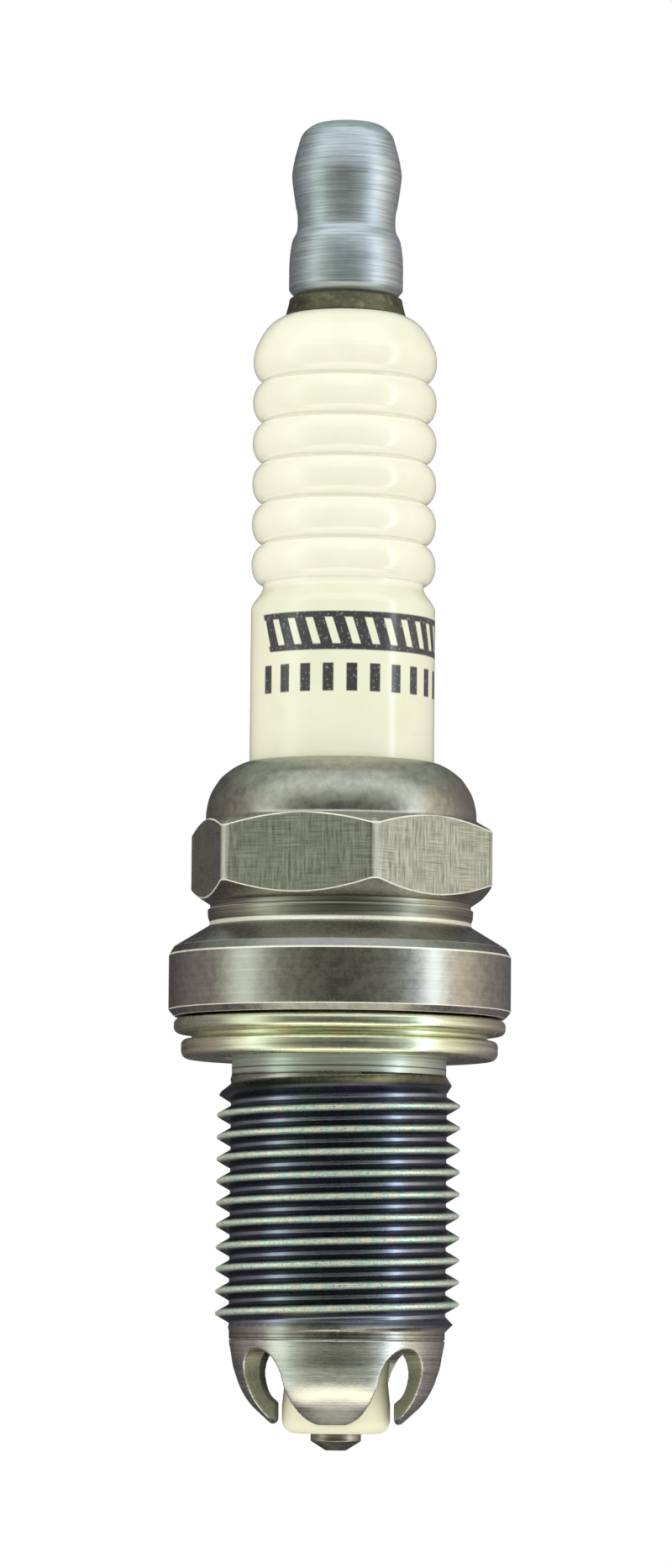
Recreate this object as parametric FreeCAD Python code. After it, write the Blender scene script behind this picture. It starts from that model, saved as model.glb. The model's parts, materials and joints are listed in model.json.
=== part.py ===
import FreeCAD, Part
import math
import os

from FreeCAD import Vector

# Spark plug with a 14 mm thread. Millimetres. The axis is Z, with the terminal at the top and
# the firing end at the bottom. The origin is on the axis in the plane of the flange's
# underside, which is the seat that the gasket lies under.

# ---- driving dimensions ------------------------------------------------------------------

# shell, outside
HEX_ACROSS_FLATS = 15.8
HEX_HEIGHT = 4.75
HEX_CORNER_ROUND = 0.8
HEX_CHAMFER_BITE = 0.05
HEX_TOP_CHAMFER_DEG = 30.0
HEX_UNDERCUT_BITE = 0.4
HEX_UNDERCUT_DEG = 33.0
HEX_TURN_DEG = 12.4
FLANGE_D = 19.57
FLANGE_HEIGHT = 3.43
FLANGE_CONE_RISE = 1.84
FLANGE_EDGE_CHAMFER = 0.35
FLANGE_TOP_ROUND_DROP = 0.24
FLANGE_TOP_ROUND_RISE = 0.55
FLANGE_TOP_ROUND_MIDDLE = (0.2, 0.6)
BAND_DEPTH = 0.55
BAND_HEIGHT = 1.18
BAND_BULGE = 0.28
BAND_BULGE_AT = 0.6
BAND_RISE_TO_HEX = 0.24
CRIMP_HEIGHT = 3.35
CRIMP_WALL_STEP = 0.07
CRIMP_LIP_ROUND = 0.22
CRIMP_STRAIGHT_SHARE = 0.2
CRIMP_LAND = 0.42
CRIMP_DOME_MIDDLE = (0.22, 0.37)
LIP_THICKNESS = 0.95
HEAD_WALL = 1.65
NECK_RELIEF = 0.04
NECK_LENGTH = 3.3
ROOT_WALL = 1.46
SEAT_FILLET = 0.3

# threads
THREAD_D = 13.86
THREAD_PITCH = 1.25
THREAD_DEPTH = 0.77
THREAD_START_DEG = 132.5
REACH = 18.3
END_RING_RELIEF = 0.02
END_RING_HEIGHT = 0.45
STUD_THREAD_D = 3.94
STUD_THREAD_PITCH = 0.7
STUD_THREAD_DEPTH = 0.43

# insulator
EXPOSED_LENGTH = 25.85
TOP_DOME_DEPTH = 1.77
TOP_DOME_HEIGHT = 2.3
TOP_DOME_MIDDLE = (0.83, 0.51)
TOP_DOME_SHOULDER = (0.32, 0.14)
CROWN_TO_FIRST_GROOVE = 3.81
RIB_COUNT = 5
RIB_PITCH = 2.356
RIB_DEPTH = 0.68
RIB_GROOVE_FLOOR = 0.14
LAST_GROOVE_FLARE = 1.3
FLARE_LEAVES = (0.2, -1.2)
FLARE_ARRIVES = (0.0, -2.2)
SHOULDER_HEIGHT = 7.2
SHOULDER_TOP_BELOW_HEX_TOP = 1.6
BODY_LENGTH = 10.3
SEAT_CONE_HEIGHT = 1.0
SEAT_STEP = 0.9
NOSE_TAPER = 0.77
NOSE_FLARE = 0.14
NOSE_WAIST_HEIGHT = 2.9
NOSE_STRAIGHT = 1.6
SHOULDER_CHAMFER = 0.3
NOSE_PAST_SHELL = 5.3
NOSE_EDGE_ROUND = 1.2

# bore of the insulator and what it holds
STUD_SHANK_D = 3.9
SHANK_DEPTH = 31.0
TERMINAL_BORE_CLEARANCE = 0.1
UPPER_SEAL_LENGTH = 3.4
UPPER_SEAL_SLEEVE = 0.8
RESISTOR_LENGTH = 8.2
LOWER_SEAL_LENGTH = 2.6
ELECTRODE_D = 2.86
ELECTRODE_BORE_CLEARANCE = 0.05
ELECTRODE_HEAD_HEIGHT = 1.5
ELECTRODE_STICKS_OUT = 0.95
ELECTRODE_TIP_D = 1.16
ELECTRODE_TIP_CHAMFER_HEIGHT = 0.55
CORE_D = 1.4
CORE_STOPS_SHORT = 2.4

# terminal
COLLAR_HEIGHT = 1.05
COLLAR_TAPER = 0.25
COLLAR_WAIST = 0.07
COLLAR_WAIST_AT = 0.4
STUD_RELIEF_HEIGHT = 0.7
STUD_RELIEF_DEPTH = 0.06
STUD_GROOVE_START = 0.4
SHANK_CHAMFER = 0.3
COLLAR_SETBACK = 0.03
GRIP_COUNT = 4
GRIP_PITCH = 0.8
GRIP_WIDTH = 0.35
GRIP_DEPTH = 0.2
GRIP_START = 1.0
NUT_HEIGHT = 10.25
NUT_BASE_D = 6.58
NUT_NECK_D = 5.66
NUT_HEAD_D = 6.34
NUT_TOP_FLAT_D = 3.2
# points on the nut's curves: (inside the radius they belong to, above the collar)
NUT_BASE_CHAMFER = (0.45, 0.55)
NUT_BASE_STRAIGHT = (0.0, 1.85)
NUT_BASE_SHOULDER = ((0.05, 2.6), (0.18, 3.4))
NUT_NECK_BLEND = ((-0.1, 3.72), (0.0, 4.0))
NUT_NECK_STRAIGHT = (0.0, 4.7)
NUT_NECK_FLARE = ((-0.04, 5.05), (-0.14, 5.4))
NUT_HEAD_SWELL = (0.04, 6.5)
# and, with the height counted down from the nut's top
NUT_HEAD_WIDEST = (0.0, -3.05)
NUT_HEAD_SIDE = ((0.09, -2.3), (0.34, -1.4))
NUT_HEAD_ROUND = (0.81, -0.4)
NUT_BORE_CLEARANCE = 0.06
NUT_ROOF = 1.7
STUD_END_GAP = 0.7

# seals between insulator and shell
POWDER_GAP = 0.96
SHOULDER_CLEARANCE = 0.1
BODY_CLEARANCE = 0.1
LEDGE_CLEARANCE = 0.25
LIP_CLEARANCE = 0.06
RING_CLEARANCE = 0.04
PACKING_INTO_RING = 0.6
WASHER_THICKNESS = 0.3
LEDGE_LAND = 1.0

# ground electrode crown
CROWN_HEIGHT = 4.8
CROWN_WALL = 1.49
CROWN_RING_HEIGHT = 0.5
SPARK_GAP = 0.4
CROWN_TIP_FACE_HEIGHT = 0.85
CROWN_TIP_EDGE_WIDTH = 0.3
CROWN_TIP_EDGE_HEIGHT = 0.25
CROWN_TIP_EDGE_MIDDLE = (0.4, 0.2)
CROWN_TIP_LIFT = 0.02
CROWN_EASE = (0.02, 0.3)
CROWN_SIDE = (0.33, 1.8)
CROWN_BEND = (0.83, 3.0)
CROWN_KNEE_LEAN = 1.39
CROWN_KNEE_SHARE = 0.79
CROWN_INSIDE_BEND = (0.36, 3.1)
CROWN_SLOT_SHARE = 0.447
CROWN_TIP_ROUND = 0.45
CROWN_TURN_DEG = -4.0
TONGUE_COUNT = 4

# gasket, folded from sheet
GASKET_SHEET = 0.3
GASKET_BELOW_SEAT = 0.1
GASKET_UPPER_INSET = 0.235
GASKET_UPPER_HEIGHT = 0.85
GASKET_LOWER_INSET = 0.715
GASKET_LOWER_HEIGHT = 1.1
GASKET_SLIT = 0.35
GASKET_PLAY = 0.48
GASKET_CURL = 0.45

# ---- worked out --------------------------------------------------------------------------

HEX_R = HEX_ACROSS_FLATS / 2
FLANGE_R = FLANGE_D / 2
BORE_R = HEX_R - HEAD_WALL
BARREL_R = BORE_R - POWDER_GAP
SHOULDER_R = BORE_R - SHOULDER_CLEARANCE
TOP_R = BARREL_R - TOP_DOME_DEPTH
THREAD_R = THREAD_D / 2
THREAD_ROOT_R = THREAD_R - THREAD_DEPTH
NECK_R = THREAD_ROOT_R - NECK_RELIEF
END_RING_R = THREAD_ROOT_R - END_RING_RELIEF
LOWER_BORE_R = THREAD_ROOT_R - ROOT_WALL
BODY_R = LOWER_BORE_R - BODY_CLEARANCE
NOSE_ROOT_R = BODY_R - SEAT_STEP
NOSE_WAIST_R = NOSE_ROOT_R - NOSE_TAPER
NOSE_END_R = NOSE_WAIST_R + NOSE_FLARE
LEDGE_R = NOSE_ROOT_R + LEDGE_CLEARANCE
SEAT_SLOPE = SEAT_CONE_HEIGHT / SEAT_STEP
CROWN_INNER_R = END_RING_R - CROWN_WALL
CROWN_TIP_R = NOSE_END_R + SPARK_GAP
SLOT_HALF_WIDTH = CROWN_SLOT_SHARE * CROWN_TIP_R
GASKET_HOLE_R = NECK_R + GASKET_PLAY
ELECTRODE_R = ELECTRODE_D / 2
SHANK_BORE_R = STUD_SHANK_D / 2 + TERMINAL_BORE_CLEARANCE
ELECTRODE_BORE_R = ELECTRODE_R + ELECTRODE_BORE_CLEARANCE

BAND_R = HEX_R - BAND_DEPTH
CONE_TOP_Z = FLANGE_HEIGHT + FLANGE_CONE_RISE
HEX_BOTTOM_Z = CONE_TOP_Z + BAND_HEIGHT
HEX_TOP_Z = HEX_BOTTOM_Z + HEX_HEIGHT
LIP_Z = HEX_TOP_Z + CRIMP_HEIGHT
CRIMP_R = HEX_R - CRIMP_WALL_STEP
SHOULDER_TOP_Z = HEX_TOP_Z - SHOULDER_TOP_BELOW_HEX_TOP
SHOULDER_BOTTOM_Z = SHOULDER_TOP_Z - SHOULDER_HEIGHT
SHOULDER_CONE = SHOULDER_R - BODY_R
BODY_BOTTOM_Z = SHOULDER_BOTTOM_Z - SHOULDER_CONE - BODY_LENGTH
NOSE_TOP_Z = BODY_BOTTOM_Z - SEAT_CONE_HEIGHT
NOSE_END_Z = -REACH - NOSE_PAST_SHELL
INSULATOR_TOP_Z = LIP_Z + EXPOSED_LENGTH
COLLAR_TOP_Z = INSULATOR_TOP_Z + COLLAR_HEIGHT
NUT_TOP_Z = COLLAR_TOP_Z + NUT_HEIGHT
STUD_TOP_Z = NUT_TOP_Z - NUT_ROOF - STUD_END_GAP
SHANK_END_Z = INSULATOR_TOP_Z - SHANK_DEPTH
RESISTOR_TOP_Z = SHANK_END_Z - UPPER_SEAL_LENGTH
RESISTOR_BOTTOM_Z = RESISTOR_TOP_Z - RESISTOR_LENGTH
HEAD_TOP_Z = RESISTOR_BOTTOM_Z - LOWER_SEAL_LENGTH
HEAD_BOTTOM_Z = HEAD_TOP_Z - ELECTRODE_HEAD_HEIGHT
ELECTRODE_END_Z = NOSE_END_Z - ELECTRODE_STICKS_OUT
CROWN_END_Z = -REACH - CROWN_HEIGHT

RING_CENTRE_R = BARREL_R + POWDER_GAP / 2
RING_WIRE_R = POWDER_GAP / 2 - RING_CLEARANCE
LOWER_RING_Z = SHOULDER_TOP_Z + RING_WIRE_R
UPPER_RING_Z = LIP_Z - LIP_THICKNESS - RING_WIRE_R

THREAD_HALF_ANGLE = math.radians(30)
THREAD_ROOT_SHARE = 1 / 12
CUTTER_PAST_CREST = 0.2
CUTTER_PAST_END = 0.6
CUTTER_PAST_FACE = 1.0
CUTTER_PAST_RIB = 0.4
TOUCHING = 0.01
ROUND_MIDDLE = 1 - math.sqrt(0.5)


# ---- shaping -----------------------------------------------------------------------------

def turned(start, *steps):
    """A solid of revolution about Z. A step is the next (r, z), or a pair of them: through, to."""
    edges = []
    here = Vector(start[0], 0, start[1])
    for step in steps + (start,):
        if isinstance(step[0], tuple):
            through, to = (Vector(r, 0, z) for r, z in step)
            edges.append(Part.Arc(here, through, to).toShape())
        else:
            to = Vector(step[0], 0, step[1])
            edges.append(Part.makeLine(here, to))
        here = to
    return Part.Face(Part.Wire(edges)).revolve(Vector(), Vector(0, 0, 1), 360)


def tube(outer_r, inner_r, bottom_z, top_z):
    """A plain ring between two planes."""
    return turned((inner_r, bottom_z), (outer_r, bottom_z), (outer_r, top_z), (inner_r, top_z))


def rod(radius, bottom_z, top_z):
    """A plain round bar on the axis."""
    return Part.makeCylinder(radius, top_z - bottom_z, Vector(0, 0, bottom_z))


def thread_groove(crest_r, depth, pitch, bottom_z, top_z, start_deg):
    """The space between a right-hand thread's flanks, swept along its helix past both ends."""
    root_r = crest_r - depth
    root_half = THREAD_ROOT_SHARE * pitch
    crest_half = root_half + depth * math.tan(THREAD_HALF_ANGLE)
    outer_r = crest_r + CUTTER_PAST_CREST
    upper = [(outer_r, crest_half), (crest_r, crest_half), (root_r, root_half)]
    lower = [(r, -z) for r, z in reversed(upper)]
    points = [Vector(r, 0, z) for r, z in upper + lower]
    section = Part.makePolygon(points + points[:1])
    helix = Part.makeLongHelix(pitch, top_z - bottom_z, root_r)
    groove = Part.Wire(helix).makePipeShell([section], True, True)
    groove.rotate(Vector(), Vector(0, 0, 1), start_deg)
    groove.translate(Vector(0, 0, bottom_z))
    return groove


def wire_ring(z):
    """A round wire bent to a closed ring in the gap between barrel and shell."""
    return Part.makeTorus(RING_CENTRE_R, RING_WIRE_R, Vector(0, 0, z))


# ---- shell -------------------------------------------------------------------------------

def hexagon():
    """The wrench hexagon, with rolled corners, and turned chamfers above and below."""
    corner_r = HEX_R / math.cos(math.radians(30))
    angles = [math.radians(HEX_TURN_DEG - 90 + 60 * i) for i in range(7)]
    corners = [Vector(corner_r * math.cos(a), corner_r * math.sin(a), HEX_BOTTOM_Z) for a in angles]
    prism = Part.Face(Part.makePolygon(corners)).extrude(Vector(0, 0, HEX_HEIGHT))
    upright = [e for e in prism.Edges if abs(e.Vertexes[0].Z - e.Vertexes[1].Z) > HEX_HEIGHT / 2]
    prism = prism.makeFillet(HEX_CORNER_ROUND, upright)
    top_r = HEX_R - HEX_CHAMFER_BITE
    bottom_r = HEX_R - HEX_UNDERCUT_BITE
    top_drop = (corner_r - top_r) * math.tan(math.radians(HEX_TOP_CHAMFER_DEG))
    bottom_rise = (corner_r - bottom_r) * math.tan(math.radians(HEX_UNDERCUT_DEG))
    envelope = turned(
        (0, HEX_BOTTOM_Z),
        (bottom_r, HEX_BOTTOM_Z),
        (corner_r, HEX_BOTTOM_Z + bottom_rise),
        (corner_r, HEX_TOP_Z - top_drop),
        (top_r, HEX_TOP_Z),
        (0, HEX_TOP_Z),
    )
    # the cones are held as splines, so the arch where one meets a flat is a spline too
    return prism.common(envelope.toNurbs())


def shell_outside():
    """Everything that is turned: crimped dome, shrink band, flange, neck and thread blank."""
    dome_z = HEX_TOP_Z + CRIMP_STRAIGHT_SHARE * CRIMP_HEIGHT
    dome_in = CRIMP_R - BARREL_R - CRIMP_LAND
    lip_r = BARREL_R + LIP_CLEARANCE
    run_out = THREAD_R - NECK_R
    turn = ROUND_MIDDLE * SEAT_FILLET
    bulge_z = CONE_TOP_Z + BAND_BULGE_AT * BAND_HEIGHT
    flat, tall = FLANGE_TOP_ROUND_MIDDLE
    full, low = CRIMP_DOME_MIDDLE
    return turned(
        (0, -REACH),
        (END_RING_R, -REACH),
        (END_RING_R, -REACH + END_RING_HEIGHT),
        (THREAD_R, -REACH + END_RING_HEIGHT + run_out),
        (THREAD_R, -NECK_LENGTH - run_out),
        (NECK_R, -NECK_LENGTH),
        (NECK_R, -SEAT_FILLET),
        ((NECK_R + turn, -turn), (NECK_R + SEAT_FILLET, 0)),
        (FLANGE_R - FLANGE_EDGE_CHAMFER, 0),
        (FLANGE_R, FLANGE_EDGE_CHAMFER),
        (FLANGE_R, FLANGE_HEIGHT),
        (
            (FLANGE_R - flat * FLANGE_TOP_ROUND_DROP, FLANGE_HEIGHT + tall * FLANGE_TOP_ROUND_RISE),
            (FLANGE_R - FLANGE_TOP_ROUND_DROP, FLANGE_HEIGHT + FLANGE_TOP_ROUND_RISE),
        ),
        (BAND_R, CONE_TOP_Z),
        ((BAND_R + BAND_BULGE, bulge_z), (BAND_R + BAND_RISE_TO_HEX, HEX_BOTTOM_Z)),
        (BAND_R + BAND_RISE_TO_HEX, HEX_TOP_Z),
        (CRIMP_R, HEX_TOP_Z),
        (CRIMP_R, dome_z),
        (
            (CRIMP_R - full * dome_in, LIP_Z - low * (LIP_Z - dome_z)),
            (lip_r + CRIMP_LIP_ROUND, LIP_Z),
        ),
        (lip_r, LIP_Z - CRIMP_LIP_ROUND),
        (0, LIP_Z - CRIMP_LIP_ROUND),
    )


def shell_bore():
    """The stepped bore: powder space, shoulder pocket, body bore, ledge and open end."""
    lip_r = BARREL_R + LIP_CLEARANCE
    half_gap = POWDER_GAP / 2
    arc = half_gap * math.sqrt(0.5)
    step_top_z = SHOULDER_BOTTOM_Z - SHOULDER_CLEARANCE
    step_bottom_z = step_top_z - (BORE_R - LOWER_BORE_R)
    ledge_top_z = BODY_BOTTOM_Z - WASHER_THICKNESS + BODY_CLEARANCE * SEAT_SLOPE
    ledge_bottom_z = ledge_top_z - (LOWER_BORE_R - LEDGE_R) * SEAT_SLOPE
    land_z = ledge_bottom_z - LEDGE_LAND
    open_r = CROWN_INNER_R
    return turned(
        (0, -REACH - CUTTER_PAST_FACE),
        (open_r, -REACH - CUTTER_PAST_FACE),
        (open_r, land_z - (open_r - LEDGE_R)),
        (LEDGE_R, land_z),
        (LEDGE_R, ledge_bottom_z),
        (LOWER_BORE_R, ledge_top_z),
        (LOWER_BORE_R, step_bottom_z),
        (BORE_R, step_top_z),
        (BORE_R, UPPER_RING_Z),
        ((RING_CENTRE_R + arc, UPPER_RING_Z + arc), (RING_CENTRE_R, UPPER_RING_Z + half_gap)),
        (lip_r, UPPER_RING_Z + half_gap),
        (lip_r, LIP_Z + CUTTER_PAST_FACE),
        (0, LIP_Z + CUTTER_PAST_FACE),
    )


def shell():
    """The steel shell, with its M14 thread cut as a real helix."""
    solid = shell_outside().fuse(hexagon()).cut(shell_bore())
    groove = thread_groove(
        THREAD_R,
        THREAD_DEPTH,
        THREAD_PITCH,
        -REACH - CUTTER_PAST_END,
        -NECK_LENGTH + CUTTER_PAST_END,
        THREAD_START_DEG,
    )
    return solid.cut(groove).removeSplitter()


# ---- ground electrode crown --------------------------------------------------------------

def crown_blank():
    """The cup before its slots are cut: a short ring, then a wall that curls in to the nose."""
    top_z = -REACH
    inner_r = CROWN_INNER_R
    tip_r = CROWN_TIP_R
    edge_z = CROWN_END_Z + CROWN_TIP_EDGE_HEIGHT
    wide, high = CROWN_TIP_EDGE_MIDDLE
    edge_middle = (tip_r + wide * CROWN_TIP_EDGE_WIDTH, CROWN_END_Z + high * CROWN_TIP_EDGE_HEIGHT)
    knee = (END_RING_R - CROWN_KNEE_LEAN, top_z - CROWN_KNEE_SHARE * CROWN_HEIGHT)
    return turned(
        (inner_r, top_z),
        (END_RING_R, top_z),
        (END_RING_R - CROWN_EASE[0], top_z - CROWN_EASE[1]),
        (END_RING_R - CROWN_SIDE[0], top_z - CROWN_SIDE[1]),
        ((END_RING_R - CROWN_BEND[0], top_z - CROWN_BEND[1]), knee),
        (tip_r + CROWN_TIP_EDGE_WIDTH, CROWN_END_Z + CROWN_TIP_LIFT),
        (edge_middle, (tip_r, edge_z)),
        (tip_r, edge_z + CROWN_TIP_FACE_HEIGHT),
        ((inner_r - CROWN_INSIDE_BEND[0], top_z - CROWN_INSIDE_BEND[1]), (inner_r, top_z - CROWN_SIDE[1])),
    )


def crown_cutter():
    """Two crossed slots with arched tops, blended into the round mouth between the tongues' ends."""
    half = SLOT_HALF_WIDTH
    across = 4 * END_RING_R
    arch_z = -REACH - CROWN_RING_HEIGHT - half
    bottom_z = CROWN_END_Z - CUTTER_PAST_FACE
    opening = rod(CROWN_TIP_R, bottom_z, arch_z)
    arches = []
    for i in range(TONGUE_COUNT // 2):
        turn_deg = 45 + 90 * i
        slot = Part.makeBox(across, 2 * half, arch_z - bottom_z, Vector(-across / 2, -half, bottom_z))
        slot.rotate(Vector(), Vector(0, 0, 1), turn_deg)
        opening = opening.fuse(slot)
        arch = Part.makeCylinder(half, across, Vector(-across / 2, 0, arch_z), Vector(1, 0, 0))
        arch.rotate(Vector(), Vector(0, 0, 1), turn_deg)
        arches.append(arch)
    opening = opening.removeSplitter()
    opening = opening.makeFillet(CROWN_TIP_ROUND, [e for e in opening.Edges if is_mouth_corner(e)])
    return opening.fuse(arches)


def is_mouth_corner(edge):
    """True for the upright edges where a slot's side meets the round mouth."""
    ends = [v.Point for v in edge.Vertexes]
    on_mouth = all(abs(math.hypot(p.x, p.y) - CROWN_TIP_R) < TOUCHING for p in ends)
    return on_mouth and len(ends) == 2 and abs(ends[0].z - ends[1].z) > CROWN_TIP_FACE_HEIGHT


def ground_electrode_crown():
    """Four tongues on one ring, each bent in to face the insulator's nose."""
    cup = crown_blank().cut(crown_cutter())
    cup.rotate(Vector(), Vector(0, 0, 1), CROWN_TURN_DEG)
    return cup


# ---- insulator ---------------------------------------------------------------------------

def rib_cutters():
    """What is taken from the barrel to leave the ribs: one ring above each groove's floor."""
    root_r = BARREL_R - RIB_DEPTH
    first_z = INSULATOR_TOP_Z - CROWN_TO_FIRST_GROOVE
    half = (RIB_PITCH - RIB_GROOVE_FLOOR) / 2
    outer_r = BARREL_R + CUTTER_PAST_RIB
    cutters = []
    for i in range(RIB_COUNT + 1):
        z = first_z - i * RIB_PITCH
        last = i == RIB_COUNT
        floor = RIB_GROOVE_FLOOR / 2
        drop = LAST_GROOVE_FLARE if last else floor + half
        top = z + floor + half
        bottom = z - drop
        upper = elliptical_flank(root_r, z + floor, half)
        lower = elliptical_flank(root_r, z - floor, -half) if not last else flare(root_r, z - floor, drop)
        edges = [
            Part.makeLine(Vector(root_r, 0, z - floor), Vector(root_r, 0, z + floor)),
            upper,
            Part.makeLine(Vector(BARREL_R, 0, top), Vector(outer_r, 0, top)),
            Part.makeLine(Vector(outer_r, 0, top), Vector(outer_r, 0, bottom)),
            Part.makeLine(Vector(outer_r, 0, bottom), Vector(BARREL_R, 0, bottom)),
            lower,
        ]
        face = Part.Face(Part.Wire(Part.__sortEdges__(edges)))
        cutters.append(face.revolve(Vector(), Vector(0, 0, 1), 360))
    return cutters


def elliptical_flank(root_r, root_z, rise):
    """A quarter ellipse from a groove's floor to the crest of the rib beside it."""
    crest = Vector(BARREL_R, 0, root_z + rise)
    root = Vector(root_r, 0, root_z)
    centre = Vector(root_r, 0, root_z + rise)
    if abs(rise) > RIB_DEPTH:
        ellipse = Part.Ellipse(root, crest, centre)
    else:
        ellipse = Part.Ellipse(crest, root, centre)
    ends = sorted([ellipse.parameter(root), ellipse.parameter(crest)])
    if ends[1] - ends[0] > math.pi:
        ends = [ends[1], ends[0] + 2 * math.pi]
    return Part.Edge(ellipse, ends[0], ends[1])


def flare(root_r, root_z, drop):
    """The last groove's lower side, a soft S from its floor out to the barrel."""
    curve = Part.BSplineCurve()
    ends = [Vector(root_r, 0, root_z), Vector(BARREL_R, 0, root_z - drop + RIB_GROOVE_FLOOR / 2)]
    leaves = Vector(FLARE_LEAVES[0], 0, FLARE_LEAVES[1])
    arrives = Vector(FLARE_ARRIVES[0], 0, FLARE_ARRIVES[1])
    curve.interpolate(Points=ends, InitialTangent=leaves, FinalTangent=arrives)
    return curve.toShape()


def insulator_outside():
    """Porcelain: domed top, barrel, shoulder, body, seat cone and nose."""
    dome_z = INSULATOR_TOP_Z - TOP_DOME_HEIGHT
    waist_z = NOSE_END_Z + NOSE_WAIST_HEIGHT
    nose_r = NOSE_END_R
    turn = ROUND_MIDDLE * NOSE_EDGE_ROUND
    shares = (TOP_DOME_MIDDLE, TOP_DOME_SHOULDER)
    dome = [(TOP_R + out * TOP_DOME_DEPTH, INSULATOR_TOP_Z - down * TOP_DOME_HEIGHT) for out, down in shares]
    return turned(
        (0, NOSE_END_Z),
        (nose_r - NOSE_EDGE_ROUND, NOSE_END_Z),
        ((nose_r - turn, NOSE_END_Z + turn), (nose_r, NOSE_END_Z + NOSE_EDGE_ROUND)),
        (nose_r, NOSE_END_Z + NOSE_STRAIGHT),
        (NOSE_WAIST_R, waist_z),
        (NOSE_ROOT_R, NOSE_TOP_Z),
        (BODY_R, BODY_BOTTOM_Z),
        (BODY_R, SHOULDER_BOTTOM_Z - SHOULDER_CONE),
        (SHOULDER_R, SHOULDER_BOTTOM_Z),
        (SHOULDER_R, SHOULDER_TOP_Z - SHOULDER_CHAMFER),
        (SHOULDER_R - SHOULDER_CHAMFER, SHOULDER_TOP_Z),
        (BARREL_R, SHOULDER_TOP_Z),
        (BARREL_R, dome_z),
        tuple(dome),
        (TOP_R, INSULATOR_TOP_Z),
        (0, INSULATOR_TOP_Z),
    )


def insulator():
    """The outside, less the ribs' grooves and the stepped bore."""
    solid = insulator_outside()
    for cutter in rib_cutters():
        solid = solid.cut(cutter)
    head_seat = SHANK_BORE_R - ELECTRODE_BORE_R
    bore = turned(
        (0, NOSE_END_Z - CUTTER_PAST_FACE),
        (ELECTRODE_BORE_R, NOSE_END_Z - CUTTER_PAST_FACE),
        (ELECTRODE_BORE_R, HEAD_BOTTOM_Z - head_seat),
        (SHANK_BORE_R, HEAD_BOTTOM_Z),
        (SHANK_BORE_R, INSULATOR_TOP_Z + CUTTER_PAST_FACE),
        (0, INSULATOR_TOP_Z + CUTTER_PAST_FACE),
    )
    return solid.cut(bore)


# ---- what the insulator's bore holds -----------------------------------------------------

def terminal_stud():
    """Threaded end, flared collar on the porcelain, and a shank with grip grooves at its end."""
    shank_r = STUD_SHANK_D / 2
    stud_r = STUD_THREAD_D / 2
    relief_r = stud_r - STUD_THREAD_DEPTH - STUD_RELIEF_DEPTH
    relief_top_z = COLLAR_TOP_Z + STUD_RELIEF_HEIGHT
    collar_r = TOP_R - COLLAR_TAPER
    foot_r = TOP_R - COLLAR_SETBACK
    waist_z = INSULATOR_TOP_Z + COLLAR_WAIST_AT * COLLAR_HEIGHT
    tip = STUD_THREAD_DEPTH
    solid = turned(
        (0, SHANK_END_Z),
        (shank_r - SHANK_CHAMFER, SHANK_END_Z),
        (shank_r, SHANK_END_Z + SHANK_CHAMFER),
        (shank_r, INSULATOR_TOP_Z),
        (foot_r, INSULATOR_TOP_Z),
        ((collar_r + COLLAR_WAIST, waist_z), (collar_r, COLLAR_TOP_Z)),
        (relief_r, COLLAR_TOP_Z),
        (relief_r, relief_top_z),
        (stud_r, relief_top_z + tip),
        (stud_r, STUD_TOP_Z - tip),
        (stud_r - tip, STUD_TOP_Z),
        (0, STUD_TOP_Z),
    )
    groove = thread_groove(
        stud_r,
        STUD_THREAD_DEPTH,
        STUD_THREAD_PITCH,
        COLLAR_TOP_Z + STUD_GROOVE_START,
        STUD_TOP_Z + CUTTER_PAST_END,
        0,
    )
    solid = solid.cut(groove)
    for i in range(GRIP_COUNT):
        grip_z = SHANK_END_Z + GRIP_START + GRIP_PITCH * i
        solid = solid.cut(tube(shank_r + GRIP_DEPTH, shank_r - GRIP_DEPTH, grip_z, grip_z + GRIP_WIDTH))
    return solid


def terminal_nut():
    """The snap terminal: rounded head, neck for the cap's spring, and a base on the collar."""
    base_r = NUT_BASE_D / 2
    neck_r = NUT_NECK_D / 2
    head_r = NUT_HEAD_D / 2
    z = COLLAR_TOP_Z
    top = NUT_TOP_Z

    def off(radius, level, point):
        """Where a point stands whose inset and height are counted from a radius and a level."""
        return (radius - point[0], level + point[1])

    solid = turned(
        (0, z),
        (base_r - NUT_BASE_CHAMFER[0], z),
        (base_r, z + NUT_BASE_CHAMFER[1]),
        off(base_r, z, NUT_BASE_STRAIGHT),
        tuple(off(base_r, z, point) for point in NUT_BASE_SHOULDER),
        tuple(off(neck_r, z, point) for point in NUT_NECK_BLEND),
        off(neck_r, z, NUT_NECK_STRAIGHT),
        tuple(off(neck_r, z, point) for point in NUT_NECK_FLARE),
        (off(head_r, z, NUT_HEAD_SWELL), off(head_r, top, NUT_HEAD_WIDEST)),
        tuple(off(head_r, top, point) for point in NUT_HEAD_SIDE),
        (off(head_r, top, NUT_HEAD_ROUND), (NUT_TOP_FLAT_D / 2, top)),
        (0, top),
    )
    bore_r = STUD_THREAD_D / 2 + NUT_BORE_CLEARANCE
    return solid.cut(rod(bore_r, z - CUTTER_PAST_FACE, top - NUT_ROOF))


def upper_glass_seal():
    """Conductive glass, melted round the end of the shank."""
    glass = rod(SHANK_BORE_R, RESISTOR_TOP_Z, SHANK_END_Z)
    sleeve_top_z = SHANK_END_Z + UPPER_SEAL_SLEEVE
    return glass.fuse(tube(SHANK_BORE_R, STUD_SHANK_D / 2, SHANK_END_Z, sleeve_top_z)).removeSplitter()


def resistor():
    """The suppressor, a rod of carbon-loaded glass."""
    return rod(SHANK_BORE_R, RESISTOR_BOTTOM_Z, RESISTOR_TOP_Z)


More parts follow.
